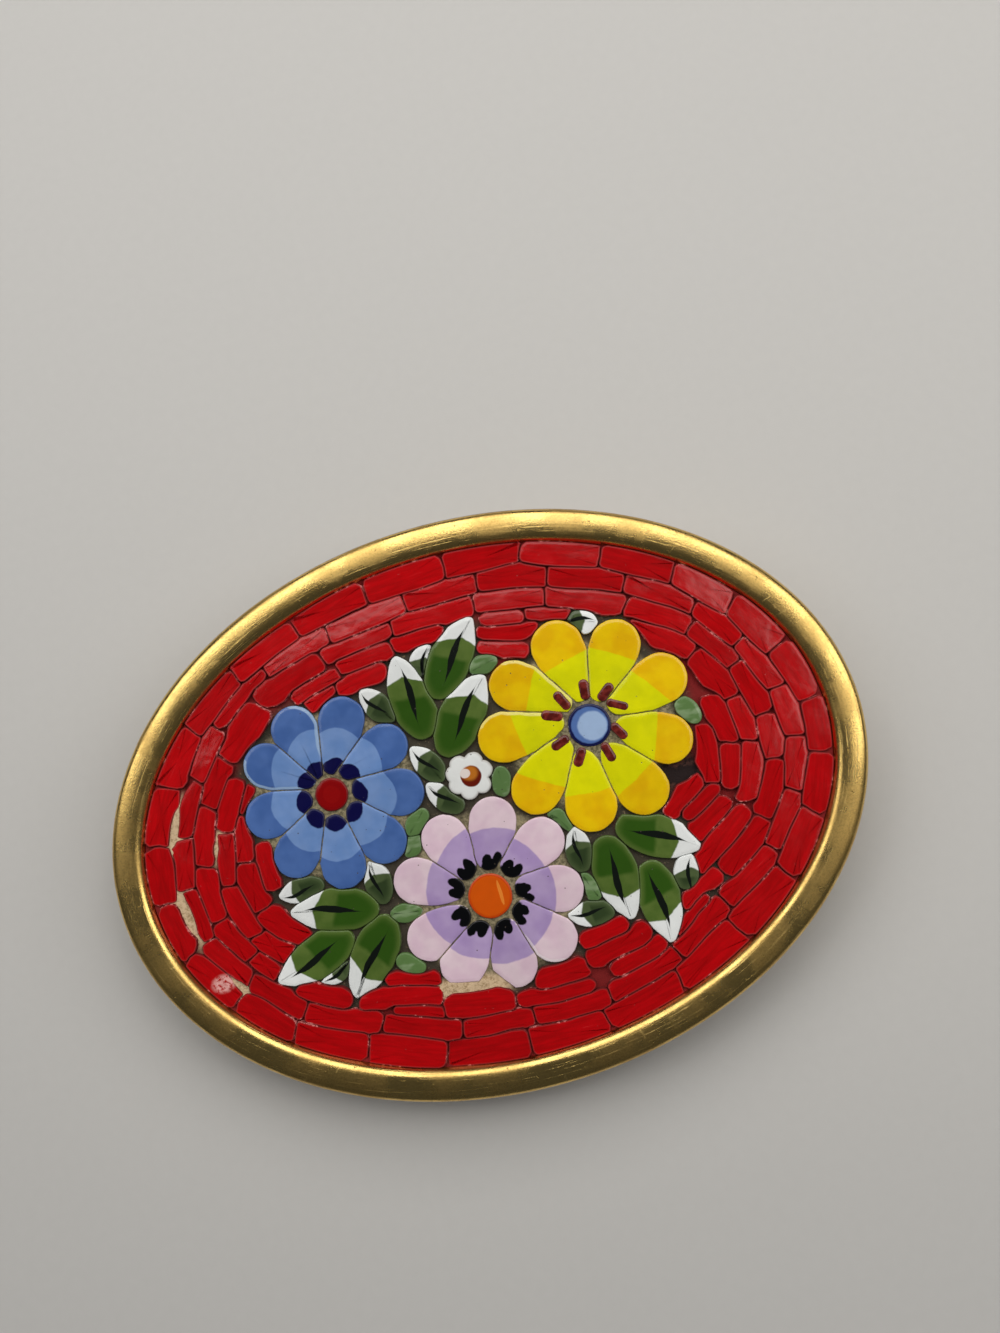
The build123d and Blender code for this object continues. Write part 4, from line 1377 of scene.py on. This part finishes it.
def build_brass_wear(name):
    """Fine scratches, rubbed patches and pits on brass."""
    group, given, put = new_group(
        name, [("Band", VECTOR), ("Place", VECTOR)],
        [("Scratches", VALUE), ("Rubbed", VALUE), ("Pits", VALUE)])
    band, place = given.outputs["Band"], given.outputs["Place"]
    lines = speckle(group, stretched(group, band, (0.25, 9.0, 1.0)), 1.0, 4.0, 0.7)
    crossing = speckle(group, stretched(group, band, (4.0, 0.6, 1.0)), 1.0, 3.0)
    scratches = reckon(group, "MAXIMUM", rise_between(group, lines, 0.56, 0.70),
                       times(group, rise_between(group, crossing, 0.66, 0.72), 0.7))
    feed(group, put.inputs["Scratches"], scratches)
    rubbed = rise_between(group, speckle(group, place, 0.35, 4.0, 0.6), 0.38, 0.64)
    feed(group, put.inputs["Rubbed"], rubbed)
    pits = rise_between(group, speckle(group, place, 3.2, 3.0, 0.75), 0.66, 0.74)
    feed(group, put.inputs["Pits"], pits)
    return group


def brass(name, banded, rough=0.20, tarnish=0.36):
    """Worn brass. Banded brass reads its scratches from the piece's own map, and is darkened by
    painted shade where the piece notes it.
    """
    settings = bpy.context.scene.brooch_rim
    material, tree, shader = new_material(name)
    place = millimetres(tree)
    band = add(tree, "ShaderNodeUVMap", uv_map="band").outputs["UV"] if banded else place
    wear = group_node(tree, "Brass wear", build_brass_wear, Band=band, Place=place).outputs
    dull = times(tree, wear["Rubbed"], tarnish)
    grain = speckle(tree, place, 9.0, 3.0, 0.8)
    dull = times(tree, rise_between(tree, grain, 0.42, 0.66), 0.3, dull)
    colour = blend_colours(tree, dull, (*settings.brass, 1.0), (*settings.tarnish, 1.0))
    for kind, share, other in (("Scratches", 0.22, (252, 226, 150)), ("Pits", 0.8, (70, 46, 14))):
        colour = blend_colours(tree, times(tree, wear[kind], share), colour, other)
    if banded:
        # painted shade: dark brass deep on the rim's inner wall and low on its outer wall
        grime = noted(tree, "grime")
        patchy = rise_between(tree, speckle(tree, place, 1.4, 3.0), 0.25, 0.60)
        grime = times(tree, grime, times(tree, patchy, 0.5, 0.4))
        colour = blend_colours(tree, grime, colour, (88, 56, 14))
    feed(tree, shader.inputs["Base Color"], colour)
    shader.inputs["Metallic"].default_value = 1.0
    roughness = times(tree, wear["Rubbed"], 0.14, rough)
    roughness = times(tree, wear["Scratches"], 0.12, roughness)
    feed(tree, shader.inputs["Roughness"], roughness)
    height = times(tree, wear["Scratches"], -0.5, times(tree, wear["Pits"], -1.0))
    height = times(tree, grain, 1.1, height)
    bump(tree, shader, height, 0.6, 0.012 * MM)
    return material


RIM_GAP = 0.05 * MM
RIM_SOFT = 0.06 * MM
RIM_FOOT_INSET = 0.4 * MM
RIM_ALLOWANCE = 0.025 * MM
BEAD_HEIGHT = 1.15 * MM
BEAD_UNDERCUT = 0.02 * MM
# Depth from the bead's crest down to which the bead is dented
DENTED_HEIGHT = 0.6 * MM


def rim_profile():
    """The rim's section as outsets from the picture's edge and level heights.

    It runs from the back edge of the rebate, up the inside, over the bead and
    down the outer wall."""
    settings = bpy.context.scene.brooch_rim
    low, high = level_box("bezel_rim")
    plate = level_box("back_plate")[1]
    inner = PICTURE_EDGE.x + RIM_GAP
    bead_width = high.x - inner
    seat = plate.x + RIM_GAP - inner
    base = high.z - BEAD_HEIGHT
    profile = [(seat, low.z + RIM_SOFT), (seat, plate.z + RIM_GAP), (0.0, plate.z + RIM_GAP),
               (0.0, base - RIM_SOFT)]
    for turn in range(180, -1, -10):
        across = math.cos(math.radians(turn))
        upward = math.sin(math.radians(turn))
        across = math.copysign(abs(across) ** settings.roundness, across)
        profile.append((bead_width * (1 + across) / 2,
                        base + BEAD_HEIGHT * upward ** settings.roundness))
    foot = bead_width - RIM_FOOT_INSET
    profile += [(bead_width - BEAD_UNDERCUT, base - RIM_SOFT),
                (foot + RIM_SOFT / 2, low.z + RIM_SOFT), (foot - RIM_SOFT / 2, low.z),
                (seat + RIM_SOFT, low.z)]
    return inner, min(high.y, -low.y) - bead_width - RIM_ALLOWANCE, profile


class BROOCH_OT_rim(bpy.types.Operator):
    """Draw the brass rim round the picture"""

    bl_idname = "brooch.rim"
    bl_label = "Brass rim"

    def execute(self, context):
        settings = context.scene.brooch_rim
        half_length, half_width, profile = rim_profile()
        bpy.ops.object.select_all(action="DESELECT")
        outset, height = profile[0]
        bpy.ops.mesh.primitive_circle_add(vertices=settings.sides, radius=1.0,
                                          location=(0, 0, height), fill_type="NOTHING")
        piece = context.active_object
        piece.name = "bezel_rim_brass"
        bpy.ops.object.transform_apply(location=True, rotation=False, scale=False)
        edit(piece)
        bpy.ops.mesh.select_all(action="SELECT")
        length, width = half_length + outset, half_width + outset
        bpy.ops.transform.resize(value=(length, width, 1), center_override=(0, 0, 0))
        for outset, next_height in profile[1:]:
            draw_out(next_height - height)
            next_length, next_width = half_length + outset, half_width + outset
            bpy.ops.transform.resize(value=(next_length / length, next_width / width, 1),
                                     center_override=(0, 0, next_height))
            height, length, width = next_height, next_length, next_width
        mesh = bmesh.from_edit_mesh(piece.data)
        pick(mesh, [edge for edge in mesh.edges if edge.is_boundary])
        bpy.ops.mesh.bridge_edge_loops()
        face_outward()
        bead = piece.vertex_groups.new(name="bead")
        base = max(vertex.co.z for vertex in piece.data.vertices) - DENTED_HEIGHT
        bead.add([vertex.index for vertex in piece.data.vertices if vertex.co.z > base], 1.0, "ADD")
        push(piece, "Dents", "Z", 3.5 * MM, settings.dents, 1.0, vertex_group="bead")
        piece.vertex_groups.clear()
        chart_rim(piece, half_length, half_width)
        smooth(piece, 50)
        lay_down(piece, brass("Rim brass", True), ["bezel_rim"])
        return {"FINISHED"}


def chart_rim(piece, half_length, half_width):
    """Notes length along and across the rim, and where painted shade darkens it."""
    def out(place):
        return math.hypot(place.x / half_length, place.y / half_width) - 1

    mesh = piece.data
    band = mesh.uv_layers.new(name="band")
    radius = (half_length + half_width) / 2
    for face in mesh.polygons:
        places = [mesh.vertices[index].co for index in face.vertices]
        turns = [math.atan2(place.y / half_width, place.x / half_length) for place in places]
        wraps = max(turns) - min(turns) > math.pi
        for index, place, turn in zip(face.loop_indices, places, turns):
            if wraps and turn < 0:
                turn += 2 * math.pi
            band.data[index].uv = (turn * radius / MM, (out(place) * radius + place.z) / MM)
    crest = max(vertex.co.z for vertex in mesh.vertices)
    widest = max(out(vertex.co) for vertex in mesh.vertices)
    # painted shade: deep down the inner wall, and low on the outer wall below the bead
    grime = []
    for vertex in mesh.vertices:
        share = out(vertex.co) / widest
        depth = (crest - vertex.co.z) / MM
        inner = 0.8 if share < 0.15 and depth > 0.6 else 0.0
        outer = clamp((share - 0.80) / 0.16) if depth > 0.3 else 0.0
        grime.append(max(inner, outer))
    note(mesh, "grime", grime)


class BROOCH_OT_back(bpy.types.Operator):
    """Finish the back plate and the pin fitting"""

    bl_idname = "brooch.back"
    bl_label = "Back and pin"

    def execute(self, context):
        dress(nodes["back_plate"].data, brass("Plate brass", False, rough=0.34, tarnish=0.7))
        piece = level_copy("pin_fitting", "pin_fitting_brass")
        apply_modifier(piece, "BEVEL", "Eased edges", width=0.07 * MM, segments=2,
                       limit_method="ANGLE", angle_limit=math.radians(40))
        smooth(piece, 35)
        lay_down(piece, brass("Pin brass", False, rough=0.22, tarnish=0.5),
                 ["pin_fitting"])
        return {"FINISHED"}


FLOOR_SIZE = 1.2
# The windows: name, place and size in millimetres, brightness and colour
WINDOWS = [
    ("Top window", (15, 130, 150), (220, 170), 2.35, (1.0, 0.98, 0.95)),
    ("Right window", (140, 20, 150), (120, 150), 2.35, (1.0, 0.97, 0.92)),
    ("Left window", (-125, 85, 150), (100, 120), 1.9, (1.0, 0.98, 0.95)),
]


def add_light(name, place, size, brightness, colour):
    """A soft rectangular light that faces the brooch, placed and sized in millimetres."""
    light = bpy.data.lights.new(name, "AREA")
    light.shape = "RECTANGLE"
    light.size = size[0] * MM
    light.size_y = size[1] * MM
    light.energy = brightness * math.pi * light.size * light.size_y
    light.color = colour
    lamp = bpy.data.objects.new(name, light)
    bpy.context.collection.objects.link(lamp)
    start = FACE @ (Vector(place) * MM)
    turn = (FACE.translation - start).to_track_quat("-Z", "Y")
    lamp.matrix_world = Matrix.Translation(start) @ turn.to_matrix().to_4x4()


class BROOCH_OT_stage(bpy.types.Operator):
    """Set up the floor, the lights and the camera"""

    bl_idname = "brooch.stage"
    bl_label = "Stage"

    def execute(self, context):
        settings = context.scene.brooch_stage
        bpy.ops.object.select_all(action="DESELECT")
        bpy.ops.mesh.primitive_plane_add(size=FLOOR_SIZE)
        floor = context.active_object
        floor.name = "floor"
        material, tree, shader = new_material("Floor")
        grain = speckle(tree, millimetres(tree), 1.5, 3.0)
        darker = [0.96 * value for value in settings.floor_colour]
        feed(tree, shader.inputs["Base Color"], blend_colours(
            tree, grain, (*settings.floor_colour, 1.0), (*darker, 1.0)))
        shader.inputs["Roughness"].default_value = 0.75
        floor.data.materials.append(material)
        for light in WINDOWS:
            add_light(*light)
        world = bpy.data.worlds.new("Studio")
        world.use_nodes = True
        backdrop = world.node_tree.nodes["Background"]
        backdrop.inputs["Color"].default_value = (0.80, 0.84, 0.90, 1.0)
        backdrop.inputs["Strength"].default_value = 0.07
        context.scene.world = world
        place_camera(context.scene, settings)
        context.scene.view_settings.view_transform = "Standard"
        return {"FINISHED"}


def place_camera(scene, settings):
    """Puts the camera where the picture was taken from."""
    lens = bpy.data.cameras.new("Camera")
    lens.sensor_fit = "VERTICAL"
    lens.sensor_height = 24.0
    lens.lens = lens.sensor_height * settings.focal_share
    lens.clip_start = 0.001
    camera = bpy.data.objects.new("Camera", lens)
    scene.collection.objects.link(camera)
    start = FACE @ Vector(settings.camera)
    line = (FACE @ Vector(settings.aim) - start).normalized()
    top = FACE.to_3x3() @ Vector((0, 1, 0))
    right = line.cross(top).normalized()
    above = right.cross(line)
    turned = math.cos(settings.roll) * above + math.sin(settings.roll) * right
    placing = Matrix((line.cross(turned), turned, -line)).transposed().to_4x4()
    placing.translation = start
    camera.matrix_world = placing
    scene.camera = camera


class BROOCH_PT_panel(bpy.types.Panel):
    """Lists the pieces of the brooch"""

    bl_idname = "BROOCH_PT_panel"
    bl_label = "Micromosaic brooch"
    bl_space_type = "VIEW_3D"
    bl_region_type = "UI"
    bl_category = "Brooch"

    def draw(self, context):
        for step in STEPS:
            self.layout.operator(step.bl_idname)
        for group in (context.scene.brooch_stones, context.scene.brooch_cement,
                      context.scene.brooch_rim, context.scene.brooch_stage):
            box = self.layout.box()
            for name in group.bl_rna.properties.keys():
                if name not in ("rna_type", "name"):
                    box.prop(group, name)


STEPS = (
    BROOCH_OT_stage,
    BROOCH_OT_rim,
    BROOCH_OT_back,
    BROOCH_OT_cement,
    BROOCH_OT_blue_flower,
    BROOCH_OT_yellow_flower,
    BROOCH_OT_yellow_strips,
    BROOCH_OT_lilac_flower,
    BROOCH_OT_floret,
    BROOCH_OT_leaves,
    BROOCH_OT_ovals,
    BROOCH_OT_tesserae,
)
GROUPS = {
    "brooch_stones": BroochStones,
    "brooch_cement": BroochCement,
    "brooch_rim": BroochRim,
    "brooch_stage": BroochStage,
}


def register():
    """Adds the classes and the settings."""
    for name, group in GROUPS.items():
        bpy.utils.register_class(group)
        setattr(bpy.types.Scene, name, PointerProperty(type=group))
    for step in STEPS:
        bpy.utils.register_class(step)
    bpy.utils.register_class(BROOCH_PT_panel)


def unregister():
    """Takes the classes and the settings away again."""
    bpy.utils.unregister_class(BROOCH_PT_panel)
    for step in reversed(STEPS):
        bpy.utils.unregister_class(step)
    for name, group in GROUPS.items():
        delattr(bpy.types.Scene, name)
        bpy.utils.unregister_class(group)


def main():
    """Builds every piece."""
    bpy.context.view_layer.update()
    register()
    for step in STEPS:
        family, name = step.bl_idname.split(".")
        getattr(getattr(bpy.ops, family), name)()


if __name__ == "__main__":
    main()
